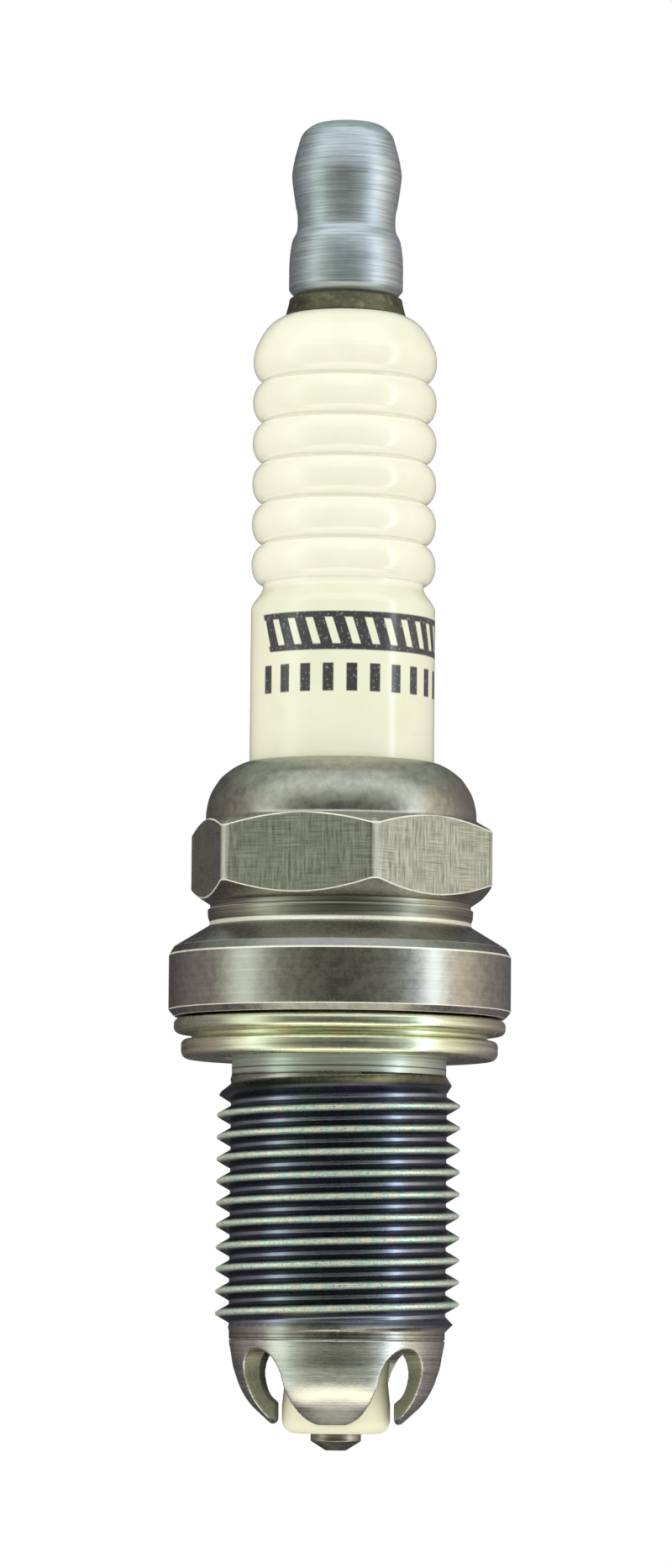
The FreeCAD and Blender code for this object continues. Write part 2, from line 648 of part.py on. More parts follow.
def lower_glass_seal():
    """Conductive glass between resistor and electrode head."""
    return rod(SHANK_BORE_R, HEAD_TOP_Z, RESISTOR_BOTTOM_Z)


def centre_electrode():
    """Nickel-alloy sheath with a head that rests on the bore's step and a chamfered tip."""
    head_r = SHANK_BORE_R - TERMINAL_BORE_CLEARANCE
    seat = head_r - ELECTRODE_R
    solid = turned(
        (0, ELECTRODE_END_Z),
        (ELECTRODE_TIP_D / 2, ELECTRODE_END_Z),
        (ELECTRODE_R, ELECTRODE_END_Z + ELECTRODE_TIP_CHAMFER_HEIGHT),
        (ELECTRODE_R, HEAD_BOTTOM_Z - seat),
        (head_r, HEAD_BOTTOM_Z),
        (head_r, HEAD_TOP_Z),
        (0, HEAD_TOP_Z),
    )
    return solid.cut(rod(CORE_D / 2, NOSE_END_Z + CORE_STOPS_SHORT, HEAD_TOP_Z + CUTTER_PAST_FACE))


def electrode_core():
    """The copper core that carries heat away from the tip."""
    return rod(CORE_D / 2, NOSE_END_Z + CORE_STOPS_SHORT, HEAD_TOP_Z)


# ---- seals between insulator and shell ---------------------------------------------------

def seat_washer():
    """The conical washer that the insulator's seat cone presses on the shell's ledge."""
    inner_r = LEDGE_R
    outer_r = BODY_R
    inner_z = BODY_BOTTOM_Z - (BODY_R - inner_r) * SEAT_SLOPE
    return turned(
        (inner_r, inner_z),
        (inner_r, inner_z - WASHER_THICKNESS),
        (outer_r, BODY_BOTTOM_Z - WASHER_THICKNESS),
        (outer_r, BODY_BOTTOM_Z),
    )


def lower_wire_ring():
    """The ring that keeps the powder off the insulator's shoulder."""
    return wire_ring(LOWER_RING_Z)


def upper_wire_ring():
    """The ring that the crimped lip bears on."""
    return wire_ring(UPPER_RING_Z)


def talc_packing():
    """Powder pressed between the two rings, which it follows."""
    inset = PACKING_INTO_RING * RING_WIRE_R
    column = tube(BORE_R, BARREL_R, LOWER_RING_Z + inset, UPPER_RING_Z - inset)
    return column.cut(lower_wire_ring()).cut(upper_wire_ring())


# ---- gasket ------------------------------------------------------------------------------

def gasket():
    """A crush washer folded from sheet: two lips outside, open to the neck inside."""
    half = GASKET_SHEET / 2
    upper_bend = (GASKET_UPPER_HEIGHT - GASKET_SHEET) / 2
    lower_bend = (GASKET_LOWER_HEIGHT - GASKET_SHEET) / 2
    slit_bend = (GASKET_SLIT + GASKET_SHEET) / 2
    hole_r = GASKET_HOLE_R
    upper_r = FLANGE_R - GASKET_UPPER_INSET - half - upper_bend
    lower_r = FLANGE_R - GASKET_LOWER_INSET - half - lower_bend
    curl_turn = ROUND_MIDDLE * GASKET_CURL
    top_z = -GASKET_BELOW_SEAT - half
    middle_z = top_z - 2 * upper_bend
    fold_z = middle_z - 2 * slit_bend
    bottom_z = fold_z - 2 * lower_bend

    def bend(r, z, radius, side):
        """Both surfaces of a half-turn, outer then inner, from its upper end to its lower."""
        outer = ((r + side * (radius + half), z - radius), (r, z - 2 * radius - half))
        inner = ((r + side * (radius - half), z - radius), (r, z - 2 * radius + half))
        return outer, inner

    upper_out, upper_in = bend(upper_r, top_z, upper_bend, 1)
    slit_out, slit_in = bend(lower_r, middle_z, slit_bend, -1)
    lower_out, lower_in = bend(lower_r, fold_z, lower_bend, 1)
    return turned(
        (hole_r, top_z - half),
        (hole_r, top_z + half),
        (upper_r, top_z + half),
        upper_out,
        (lower_r, middle_z - half),
        ((slit_in[0][0], slit_in[0][1]), (lower_r, fold_z + half)),
        lower_out,
        (hole_r + GASKET_CURL, bottom_z - half),
        ((hole_r + curl_turn, bottom_z - half + curl_turn), (hole_r, bottom_z - half + GASKET_CURL)),
        (hole_r + GASKET_SHEET, bottom_z - half + GASKET_CURL),
        (hole_r + GASKET_CURL, bottom_z + half),
        (lower_r, bottom_z + half),
        ((lower_in[0][0], lower_in[0][1]), (lower_r, fold_z - half)),
        ((slit_out[0][0], slit_out[0][1]), (lower_r, middle_z + half)),
        (upper_r, middle_z + half),
        ((upper_in[0][0], upper_in[0][1]), (upper_r, top_z - half)),
    )


# ---- write -------------------------------------------------------------------------------

NODES = {
    "terminal_nut": terminal_nut,
    "terminal_stud": terminal_stud,
    "insulator": insulator,
    "upper_glass_seal": upper_glass_seal,
    "resistor": resistor,
    "lower_glass_seal": lower_glass_seal,
    "centre_electrode": centre_electrode,
    "electrode_core": electrode_core,
    "shell": shell,
    "ground_electrode_crown": ground_electrode_crown,
    "seat_washer": seat_washer,
    "lower_wire_ring": lower_wire_ring,
    "talc_packing": talc_packing,
    "upper_wire_ring": upper_wire_ring,
    "gasket": gasket,
}

os.makedirs("parts", exist_ok=True)
for node, build in NODES.items():
    shape = build()
    solids = shape.Solids
    print(node, "valid", shape.isValid(), "solids", len(solids), "volume", round(shape.Volume, 3))
    (solids[0] if len(solids) == 1 else shape).exportStep("parts/" + node + ".step")
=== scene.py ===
import json
import math

import bmesh
import bpy
import numpy as np
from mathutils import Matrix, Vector

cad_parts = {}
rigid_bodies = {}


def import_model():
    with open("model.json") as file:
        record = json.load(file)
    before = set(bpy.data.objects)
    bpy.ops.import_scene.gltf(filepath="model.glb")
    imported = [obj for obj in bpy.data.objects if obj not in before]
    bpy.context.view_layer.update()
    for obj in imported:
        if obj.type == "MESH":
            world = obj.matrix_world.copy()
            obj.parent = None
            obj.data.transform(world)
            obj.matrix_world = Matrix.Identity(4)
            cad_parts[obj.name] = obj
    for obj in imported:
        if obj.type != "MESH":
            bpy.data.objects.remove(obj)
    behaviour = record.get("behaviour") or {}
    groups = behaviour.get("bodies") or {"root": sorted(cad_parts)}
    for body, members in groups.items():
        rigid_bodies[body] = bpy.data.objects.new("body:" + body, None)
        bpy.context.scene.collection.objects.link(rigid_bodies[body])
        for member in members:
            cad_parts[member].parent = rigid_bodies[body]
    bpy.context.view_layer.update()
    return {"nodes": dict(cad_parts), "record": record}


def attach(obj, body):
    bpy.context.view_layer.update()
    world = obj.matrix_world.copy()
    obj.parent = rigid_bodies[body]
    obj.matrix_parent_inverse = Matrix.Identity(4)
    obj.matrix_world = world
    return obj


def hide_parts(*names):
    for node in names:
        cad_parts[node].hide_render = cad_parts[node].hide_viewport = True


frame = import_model()

MM = 0.001
TAU = 2 * math.pi

# Everything below is in millimetres until a mesh is written. The axis is Z, the terminal is up,
# and the camera looks along +Y.

HEX_R = 7.9
HEX_CORNER_ROUND = 0.8
HEX_TURN_DEG = 12.4
HEX_TOP_Z = 11.2
HEX_BOTTOM_Z = 6.45
HEX_TOP_R = 7.85
HEX_UNDER_R = 7.51
FLANGE_R = 9.78
NECK_R = 6.12
END_RING_R = 6.14
THREAD_R = 6.93
THREAD_ROOT_R = 6.16
PITCH = 1.25
THREAD_START_DEG = 132.5
THREAD_TOP_Z = -3.3
THREAD_BOTTOM_Z = -17.85
SHELL_END_Z = -18.3
STUD_THREAD_R = 1.97
STUD_ROOT_R = 1.54
STUD_PITCH = 0.7
BARREL_R = 5.29
RIB_ROOT_R = 4.61
FIRST_GROOVE_Z = 36.59
RIB_PITCH = 2.356
GROOVE_FLOOR = 0.14
CROWN_TURN_DEG = -4.0
SLOT_HALF_WIDTH = 1.55
ARCH_Z = -20.35
MOUTH_R = 3.47
MOUTH_ROUND = 0.45
MOUTH_CUTTER_LOW_Z = -26.0
CUTTER_REACH = 9.0
# how far a slot opens past its half width near the tongue's tip, as (out, z)
TIP_FLARE = [
    (0.42, -23.3), (0.36, -23.06), (0.25, -22.98), (0.14, -22.87),
    (0.06, -22.74), (0.015, -22.6), (0, -22.45),
]
CUT_BELOW_Z = -18.9
CUT_FACING = 0.86
CUT_FACING_SPREAD = 0.1
CUT_RADIAL_LIMIT = 0.8

HEX_TOP_SLOPE_DEG = 30
HEX_UNDER_SLOPE_DEG = 33
HEX_UNDER_LIP = 0.05
HEX_ARRIS_ROUND = 0.13
HEX_UPRIGHT_WEAR_AND_SHEEN = 0.4
HEX_FLAT_COLUMNS = 34
HEX_CORNER_COLUMNS = 12
ON_FLAT = 0.02
DOME_FOOT_R = 7.76
THREAD_PHASE_Z = -18.9
THREAD_ROOT_SHARE = 1 / 12
THREAD_RUN_OUT = 0.62
CUT_OFF_CREST = 0.4

STUD_LOW_Z = 42.15
STUD_HIGH_Z = 48.9
STUD_PHASE_Z = 41.85
STUD_ROOT_SHARE = 0.125
STUD_RUN_OUT_R = 1.44
STUD_RUN_OUT = 1.3
GRIP_COUNT = 4
GRIP_START_Z = 10.4
GRIP_PITCH = 0.8
GRIP_WIDTH = 0.35
GASKET_WAVE_FROM_R = 8.0
GASKET_WAVE_RISE = 1.4

CUP_SEGMENTS = 160
INSULATOR_SEGMENTS = 224
NUT_SEGMENTS = 200
STUD_SEGMENTS = 96
GASKET_SEGMENTS = 288
ELECTRODE_SEGMENTS = 96
CROWN_VOXEL = 0.062

# heights between which a finish changes
DOME_Z = (11.2, 11.6)
# painted shade under the hexagon and on the cone below it, painted light on the neck under the gasket
SHADED_UNDER_HEX_Z = (5.35, 6.5)
SHADED_CONE_Z = (3.5, 5.1)
LIT_NECK_Z = (-3.25, -0.3)
TURNED_LINES_Z = ((-2.99, -2.91), (-3.40, -3.31), (-18.02, -17.96), (-18.22, -18.17))
# painted light: the ribs and the grooves between them are painted lighter
PAINTED_LIT_RIBS_Z = (24.6, 40.4)
LAST_LIT_GROOVE_Z = 37.5
BARE_NOSE_Z = (-17.0, -16.0)
CUP_SHADED_Z = (-20.6, -19.15)
PRINT_BLOCK_Z = (20.6, 22.8)
PRINT_BARS_Z = (20.95, 22.45)
PRINT_BLOCK_ANGLE = (0.34, 3.05)
PRINT_SLANT = 0.06
PRINT_BARS_PER_RADIAN = 4.6
MARKS_Z = (18.25, 19.85)
MARKS_ANGLE = (-1.0, 1.75)
MARKS_PER_RADIAN = 3.9


# ---- outlines ----------------------------------------------------------------------------

def rounded(corners, steps=4, closed=False):
    """Turns (r, z, round, mark) corners into a list of (r, z, mark) with an arc at each; the mark shows worn
    edges and painted edge highlights.
    """
    path = []
    count = len(corners)
    for i, (r, z, radius, wear_and_sheen) in enumerate(corners):
        here = np.array((r, z), float)
        if radius == 0 or (not closed and i in (0, count - 1)):
            path.append((r, z, wear_and_sheen))
            continue
        before = np.array(corners[i - 1][:2], float) - here
        after = np.array(corners[(i + 1) % count][:2], float) - here
        before_len, after_len = np.linalg.norm(before), np.linalg.norm(after)
        before, after = before / before_len, after / after_len
        half = math.acos(float(np.clip(before @ after, -1, 1))) / 2
        if half > math.radians(89):
            path.append((r, z, wear_and_sheen))
            continue
        cut = min(radius / math.tan(half), 0.48 * before_len, 0.48 * after_len)
        centre = here + (before + after) / np.linalg.norm(before + after) * cut / math.cos(half)
        start, end = here + before * cut - centre, here + after * cut - centre
        sweep = math.pi - 2 * half
        for k in range(steps + 1):
            t = k / steps
            if sweep < 1e-4:
                point = start + (end - start) * t
            else:
                point = (math.sin((1 - t) * sweep) * start + math.sin(t * sweep) * end) / math.sin(sweep)
            path.append((*(centre + point), wear_and_sheen * math.sin(math.pi * t)))
    return path


def smooth(points, steps=6):
    """A smooth curve through (r, z) points, as (r, z, 0)."""
    p = [np.array(q, float) for q in points]
    p = [2 * p[0] - p[1]] + p + [2 * p[-1] - p[-2]]
    path = []
    for a, b, c, d in zip(p, p[1:], p[2:], p[3:]):
        for k in range(steps):
            t = k / steps
            q = b + 0.5 * t * (c - a + t * (2 * a - 5 * b + 4 * c - d + t * (3 * (b - c) + d - a)))
            path.append((q[0], q[1], 0.0))
    path.append((*p[-2], 0.0))
    return path


# ---- meshes ------------------------------------------------------------------------------

def finish_mesh(name, verts, faces, attributes):
    """Writes one closed mesh in metres, with normals weighted by area."""
    mesh = bpy.data.meshes.new(name)
    mesh.from_pydata((np.asarray(verts) * MM).tolist(), [], faces)
    for key, values in attributes.items():
        layer = mesh.attributes.new(key, "FLOAT", "POINT")
        layer.data.foreach_set("value", np.asarray(values, np.float32))
    work = bmesh.new()
    work.from_mesh(mesh)
    bmesh.ops.remove_doubles(work, verts=work.verts, dist=2e-7)
    bmesh.ops.dissolve_degenerate(work, edges=work.edges, dist=1e-8)
    bmesh.ops.recalc_face_normals(work, faces=work.faces)
    work.to_mesh(mesh)
    work.free()
    weigh_normals(mesh)
    piece = bpy.data.objects.new(name, mesh)
    bpy.context.scene.collection.objects.link(piece)
    return piece


def weigh_normals(mesh):
    """Lets large faces set the shading, so flats stay flat beside their rounded edges."""
    mesh.shade_smooth()
    total = np.zeros((len(mesh.vertices), 3))
    normals = np.zeros(len(mesh.polygons) * 3)
    areas = np.zeros(len(mesh.polygons))
    mesh.polygons.foreach_get("normal", normals)
    mesh.polygons.foreach_get("area", areas)
    loops = np.zeros(len(mesh.loops), int)
    mesh.loops.foreach_get("vertex_index", loops)
    counts = np.zeros(len(mesh.polygons), int)
    mesh.polygons.foreach_get("loop_total", counts)
    owner = np.repeat(np.arange(len(counts)), counts)
    weighted = normals.reshape(-1, 3) * areas[:, None]
    np.add.at(total, loops, weighted[owner])
    length = np.linalg.norm(total, axis=1, keepdims=True)
    total = total / np.where(length == 0, 1, length)
    mesh.normals_split_custom_set_from_vertices(total.tolist())


def sheet(r, z, wear_and_sheen, theta, closed, first=0):
    """Vertices, faces and the worn-edge and painted-highlight mask for rows of points swept through the
    angles in theta.
    """
    rows, columns = r.shape
    x, y = r * np.cos(theta), r * np.sin(theta)
    verts = np.stack([x, y, z], -1).reshape(-1, 3)
    i = np.arange(rows if closed else rows - 1)[:, None]
    j = np.arange(columns)[None, :]
    i2, j2 = (i + 1) % rows, (j + 1) % columns
    quads = np.stack([i * columns + j, i * columns + j2, i2 * columns + j2, i2 * columns + j], -1)
    return verts, (quads.reshape(-1, 4) + first).tolist(), wear_and_sheen.reshape(-1)


def lathe(name, path, segments):
    """A turned piece from a closed outline."""
    r, z, wear_and_sheen = np.array(path, float).T
    theta = np.arange(segments) * TAU / segments
    wide = np.ones(segments)
    verts, faces, wear_and_sheen = sheet(np.outer(r, wide), np.outer(z, wide), np.outer(wear_and_sheen, wide), theta, True)
    return finish_mesh(name, verts, faces, {"wear_and_sheen": wear_and_sheen})


def thread_section(root_r, crest_r, pitch, root_share, steps):
    """One turn of a 60 degree thread as (share of pitch, r, crest), from the middle of the root."""
    root_half = root_share * pitch
    crest_half = root_half + (crest_r - root_r) * math.tan(math.radians(30))
    turn = [
        (root_r, 0, 0, 0),
        (root_r, root_half, 0.09 * pitch, 0),
        (crest_r, crest_half, 0.03 * pitch, 0),
        (crest_r, pitch - crest_half, 0.03 * pitch, 0),
        (root_r, pitch - root_half, 0.09 * pitch, 0),
        (root_r, pitch, 0, 0),
    ]
    path = rounded(turn, steps)[:-1]
    return [(z / pitch, r, (r - root_r) / (crest_r - root_r)) for r, z, _ in path]


def thread_sheet(section, pitch, start_deg, base_z, low, high, envelope, theta, first):
    """A helical sheet between two planes; whatever lies past a plane is folded onto it."""
    per_turn = len(section)
    turns = int((high - low) / pitch) + 4
    offset = (theta - math.radians(start_deg)) / TAU * pitch
    start_turn = math.floor((low - base_z) / pitch) - 2
    share, radius, crest = (np.array(v) for v in zip(*section))
    turn = start_turn + np.repeat(np.arange(turns), per_turn)
    z = base_z + (turn + np.tile(share, turns))[:, None] * pitch + offset[None, :]
    r = np.tile(radius, turns)[:, None] * np.ones_like(z)
    crest = np.tile(crest, turns)[:, None] * np.ones_like(z)
    z = np.clip(z, low, high)
    limit = envelope(z)
    crest = np.where(r > limit, crest * CUT_OFF_CREST, crest)
    r = np.minimum(r, limit)
    rows, columns = z.shape
    verts = np.stack([r * np.cos(theta), r * np.sin(theta), z], -1).reshape(-1, 3)
    faces = []
    for i in range(rows - 1):
        for j in range(columns):
            step, beside = (0, j + 1) if j < columns - 1 else (per_turn, 0)
            if i + 1 + step >= rows:
                continue
            corner = (i, j), (i + step, beside), (i + 1 + step, beside), (i + 1, j)
            faces.append([first + a * columns + b for a, b in corner])
    return verts, faces, crest.reshape(-1)


# ---- shell -------------------------------------------------------------------------------

def hexagon_columns():
    """Angles of the shell's columns, and the hexagon's radius and how much its corner is a worn edge with a
    painted highlight, at each.
    """
    tangent = HEX_R * math.tan(math.radians(30)) - HEX_CORNER_ROUND * math.tan(math.radians(30))
    flat_half = math.atan2(tangent, HEX_R)
    corner_half = math.radians(30) - flat_half
    centre_r = (HEX_R - HEX_CORNER_ROUND) / math.cos(math.radians(30))
    angles, radii, wear_and_sheen = [], [], []
    for face in range(6):
        normal = math.radians(HEX_TURN_DEG - 90 + 30 + 60 * face)
        for k in range(HEX_FLAT_COLUMNS):
            a = flat_half * (2 * k / HEX_FLAT_COLUMNS - 1)
            angles.append(normal + a)
            radii.append(HEX_R / math.cos(a))
            wear_and_sheen.append(0.0)
        for k in range(HEX_CORNER_COLUMNS):
            d = corner_half * (2 * k / HEX_CORNER_COLUMNS - 1)
            angles.append(normal + math.radians(30) + d)
            bulge = math.sqrt(HEX_CORNER_ROUND**2 - (centre_r * math.sin(d)) ** 2)
            radii.append(centre_r * math.cos(d) + bulge)
            wear_and_sheen.append(math.cos(d / corner_half * math.pi / 2))
    angles = np.array(angles)
    start = math.radians(HEX_TURN_DEG - 90)
    order = np.argsort((angles - start) % TAU)
    angles = start + ((angles - start) % TAU)[order]
    return angles, np.array(radii)[order], np.array(wear_and_sheen)[order]


def hexagon_rows(radii, corner_wear_and_sheen):
    """The hexagon's (r, z, wear, flat) rows at every column, from its underside to its top face."""
    columns = []
    slope = math.tan(math.radians(HEX_TOP_SLOPE_DEG))
    under_slope = math.tan(math.radians(HEX_UNDER_SLOPE_DEG))
    for r, worn in zip(radii, corner_wear_and_sheen):
        path = rounded(
            [
                (HEX_UNDER_R - HEX_UNDER_LIP, HEX_BOTTOM_Z, 0, 0),
                (HEX_UNDER_R, HEX_BOTTOM_Z, 0.05, 0.5),
                (r, HEX_BOTTOM_Z + (r - HEX_UNDER_R) * under_slope, HEX_ARRIS_ROUND, 1.0),
                (r, HEX_TOP_Z - (r - HEX_TOP_R) * slope, HEX_ARRIS_ROUND, 1.0),
                (HEX_TOP_R, HEX_TOP_Z, 0.03, 0.4),
                (DOME_FOOT_R, HEX_TOP_Z, 0, 0),
            ],
            steps=4,
        )
        rows = []
        # the third value marks worn edges with a painted highlight, the upright hexagon edges too
        for a, b, wear_and_sheen in path:
            upright = HEX_BOTTOM_Z + 1 < b < HEX_TOP_Z - 0.5
            on_flat = float(abs(a - r) < ON_FLAT)
            rows.append((a, b, max(wear_and_sheen, HEX_UPRIGHT_WEAR_AND_SHEEN * worn * upright), on_flat))
        columns.append(rows)
    return np.array(columns).transpose(1, 0, 2)


def shell_piece():
    """The steel shell in one closed mesh: turned parts, hexagon and helical thread."""
    theta, hex_radii, corner_wear_and_sheen = hexagon_columns()
    columns = len(theta)
    below = rounded(
        [
            (NECK_R, THREAD_TOP_Z, 0, 0),
            (NECK_R, 0, 0.3, 0),
            (9.45, 0, 0.08, 0.8),
            (FLANGE_R, 0.38, 0.12, 1.0),
            (FLANGE_R, 3.5, 0.28, 0.9),
            (9.5, 3.98, 0.15, 0.4),
            (7.42, 5.24, 0.35, 0.9),
            (7.58, 5.7, 0.3, 0),
            (7.60, 6.12, 0.04, 0.7),
            (7.46, 6.18, 0.02, 0),
            (7.46, 6.36, 0.02, 0),
            (HEX_UNDER_R - HEX_UNDER_LIP, HEX_BOTTOM_Z, 0, 0),
        ],
        steps=5,
    )
    dome = smooth(
        [
            (DOME_FOOT_R, HEX_TOP_Z), (7.74, 11.7), (7.68, 12.1), (7.58, 12.5), (7.42, 12.9),
            (7.18, 13.3), (6.9, 13.68), (6.5, 14.02), (6.12, 14.28), (5.75, 14.46), (5.5, 14.53),
            (5.37, 14.45), (5.35, 14.3),
        ],
        steps=3,
    )
    bore = rounded(
        [
            (5.35, 14.3, 0, 0), (5.35, 13.64, 0, 0), (5.77, 13.64, 0, 0), (6.11, 13.5, 0, 0),
            (6.25, 13.16, 0, 0), (6.25, 2.3, 0, 0), (4.7, 0.75, 0, 0), (4.7, -9.639, 0, 0),
            (3.95, -10.472, 0, 0), (3.95, -11.472, 0, 0), (4.65, -12.172, 0, 0), (4.65, SHELL_END_Z, 0, 0),
            (END_RING_R, SHELL_END_Z, 0.03, 0.5), (END_RING_R, THREAD_BOTTOM_Z, 0, 0),
        ],
        steps=2,
    )

    def all_round(path):
        return np.einsum("rk,c->rck", np.column_stack([path, np.zeros(len(path))]), np.ones(columns))

    grid = np.concatenate(
        [
            all_round(below[:-1]),
            hexagon_rows(hex_radii, corner_wear_and_sheen),
            all_round(dome[1:]),
            all_round(bore[1:]),
        ]
    )
    verts, faces, wear_and_sheen = sheet(grid[:, :, 0], grid[:, :, 1], grid[:, :, 2], theta, False)

    def envelope(z):
        return np.minimum(END_RING_R + (z - THREAD_BOTTOM_Z), NECK_R + (THREAD_TOP_Z - z) * THREAD_RUN_OUT)

    section = thread_section(THREAD_ROOT_R, THREAD_R, PITCH, THREAD_ROOT_SHARE, 3)
    more, more_faces, crest = thread_sheet(
        section,
        PITCH,
        THREAD_START_DEG,
        THREAD_PHASE_Z,
        THREAD_BOTTOM_Z,
        THREAD_TOP_Z,
        envelope,
        theta,
        len(verts),
    )
    crest_all = np.concatenate([np.zeros(len(verts)), crest])
    wear_and_sheen_all = np.concatenate([wear_and_sheen, np.zeros(len(more))])
    flats = np.concatenate([grid[:, :, 3].reshape(-1), np.zeros(len(more))])
    return finish_mesh(
        "shell_look",
        np.concatenate([verts, more]),
        faces + more_faces,
        {"wear_and_sheen": wear_and_sheen_all, "crest": crest_all, "flat": flats},
    )


# ---- crown -------------------------------------------------------------------------------

def slot_cutter(turn_deg):
    """A bar with an arched top that spans the cup and flares at the tongues' tips."""
    outline = [(-SLOT_HALF_WIDTH - out, z) for out, z in TIP_FLARE[::-1]]
    outline += [(SLOT_HALF_WIDTH + out, z) for out, z in TIP_FLARE]
    for k in range(33):
        a = math.pi * k / 32
        outline.append((SLOT_HALF_WIDTH * math.cos(a), ARCH_Z + SLOT_HALF_WIDTH * math.sin(a)))
    turn = math.radians(turn_deg)
    along = np.array((math.cos(turn), math.sin(turn), 0))
    across = np.array((-math.sin(turn), math.cos(turn), 0))
    verts = []
    for side in (-1, 1):
        for a, z in outline:
            verts.append(side * CUTTER_REACH * along + a * across + np.array((0, 0, z)))
    n = len(outline)
    faces = [list(range(n))[::-1], list(range(n, 2 * n))]
    faces += [[i, (i + 1) % n, n + (i + 1) % n, n + i] for i in range(n)]
    return finish_mesh("slot_cutter", verts, faces, {})


def mouth_cutter():
    """The open cross between the tongues, its corners rounded into the round mouth."""
    out = math.sqrt((MOUTH_R + MOUTH_ROUND) ** 2 - (SLOT_HALF_WIDTH + MOUTH_ROUND) ** 2)
    middle = np.array((out, SLOT_HALF_WIDTH + MOUTH_ROUND))
    ending = math.atan2(-middle[1], -middle[0]) % TAU
    side = [np.array((CUTTER_REACH, SLOT_HALF_WIDTH))]
    for k in range(13):
        a = 1.5 * math.pi + (ending - 1.5 * math.pi) * k / 12
        side.append(middle + MOUTH_ROUND * np.array((math.cos(a), math.sin(a))))
    start = math.atan2(middle[1], middle[0])
    half = [(v[0], v[1]) for v in side]
    for a in np.linspace(start, math.pi / 4, 7)[1:]:
        half.append((MOUTH_R * math.cos(a), MOUTH_R * math.sin(a)))
    whole = half + [(y, x) for x, y in half[-2::-1]]
    outline = []
    for k in range(4):
        turn = math.radians(45 + CROWN_TURN_DEG + 90 * k)
        c, n = math.cos(turn), math.sin(turn)
        outline += [(x * c - y * n, x * n + y * c) for x, y in whole]
    count = len(outline)
    verts = [(x, y, z) for z in (MOUTH_CUTTER_LOW_Z, ARCH_Z) for x, y in outline]
    faces = [list(range(count))[::-1], list(range(count, 2 * count))]
    faces += [[i, (i + 1) % count, count + (i + 1) % count, count + i] for i in range(count)]
    return finish_mesh("slot_cutter_mouth", verts, faces, {})


def crown_piece():
    """The cup with its four tongues, cut through and then softened all over."""
    outer = smooth(
        [
            (6.14, -18.34), (6.12, -18.55), (6.06, -18.85), (5.98, -19.3), (5.88, -19.85),
            (5.72, -20.35), (5.5, -20.95), (5.18, -21.55), (4.8, -22.05), (4.35, -22.48),
            (3.95, -22.84), (3.72, -23.04),
        ],
        steps=4,
    )
    inner = smooth(
        [
            (3.47, -22.85), (3.47, -22.0), (3.75, -21.75), (4.1, -21.5), (4.4, -21.1),
            (4.58, -20.6), (4.65, -20.1), (4.65, -18.3),
        ],
        steps=4,
    )
    path = outer + [(3.62, -23.08, 0), (3.52, -23.02, 0)] + inner + [(6.10, -18.3, 0)]
    cup = lathe("crown_look", path, CUP_SEGMENTS)
    for cutter in [slot_cutter(turn + CROWN_TURN_DEG) for turn in (45, 135)] + [mouth_cutter()]:
        cut = cup.modifiers.new("slot", "BOOLEAN")
        cut.operation, cut.solver, cut.object = "DIFFERENCE", "EXACT", cutter
        cutter.hide_render = True
    soften = cup.modifiers.new("soften", "REMESH")
    soften.mode = "VOXEL"
    soften.voxel_size = CROWN_VOXEL * MM
    ease = cup.modifiers.new("ease", "SMOOTH")
    ease.factor, ease.iterations = 0.5, 4
    made = bpy.data.meshes.new_from_object(cup.evaluated_get(bpy.context.evaluated_depsgraph_get()))
    cup.modifiers.clear()
    cup.data = made
    for o in [o for o in bpy.data.objects if o.name.startswith("slot_cutter")]:
        bpy.data.objects.remove(o)
    made.shade_smooth()
    count = len(made.vertices)
    place, normal = np.zeros(count * 3), np.zeros(count * 3)
    made.vertices.foreach_get("co", place)
    made.vertices.foreach_get("normal", normal)
    place, normal = place.reshape(-1, 3) / MM, normal.reshape(-1, 3)
    sides = [math.radians(a + CROWN_TURN_DEG) for a in (45, 135)]
    turned_to = [np.abs(normal[:, 0] * math.cos(a) + normal[:, 1] * math.sin(a)) for a in sides]
    facing = np.max(turned_to, 0)
    radial = (normal[:, :2] * place[:, :2]).sum(1) / np.hypot(place[:, 0], place[:, 1])
    cut = np.clip((facing - CUT_FACING) / CUT_FACING_SPREAD, 0, 1)
    cut = cut * (place[:, 2] < CUT_BELOW_Z) * (np.abs(radial) < CUT_RADIAL_LIMIT)
    for key, values in (("cut", cut), ("inner", np.clip(-radial * 3, 0, 1))):
        layer = made.attributes.new(key, "FLOAT", "POINT")
        layer.data.foreach_set("value", values.astype(np.float32))
    return cup


# ---- insulator, terminal, gasket, electrode ----------------------------------------------

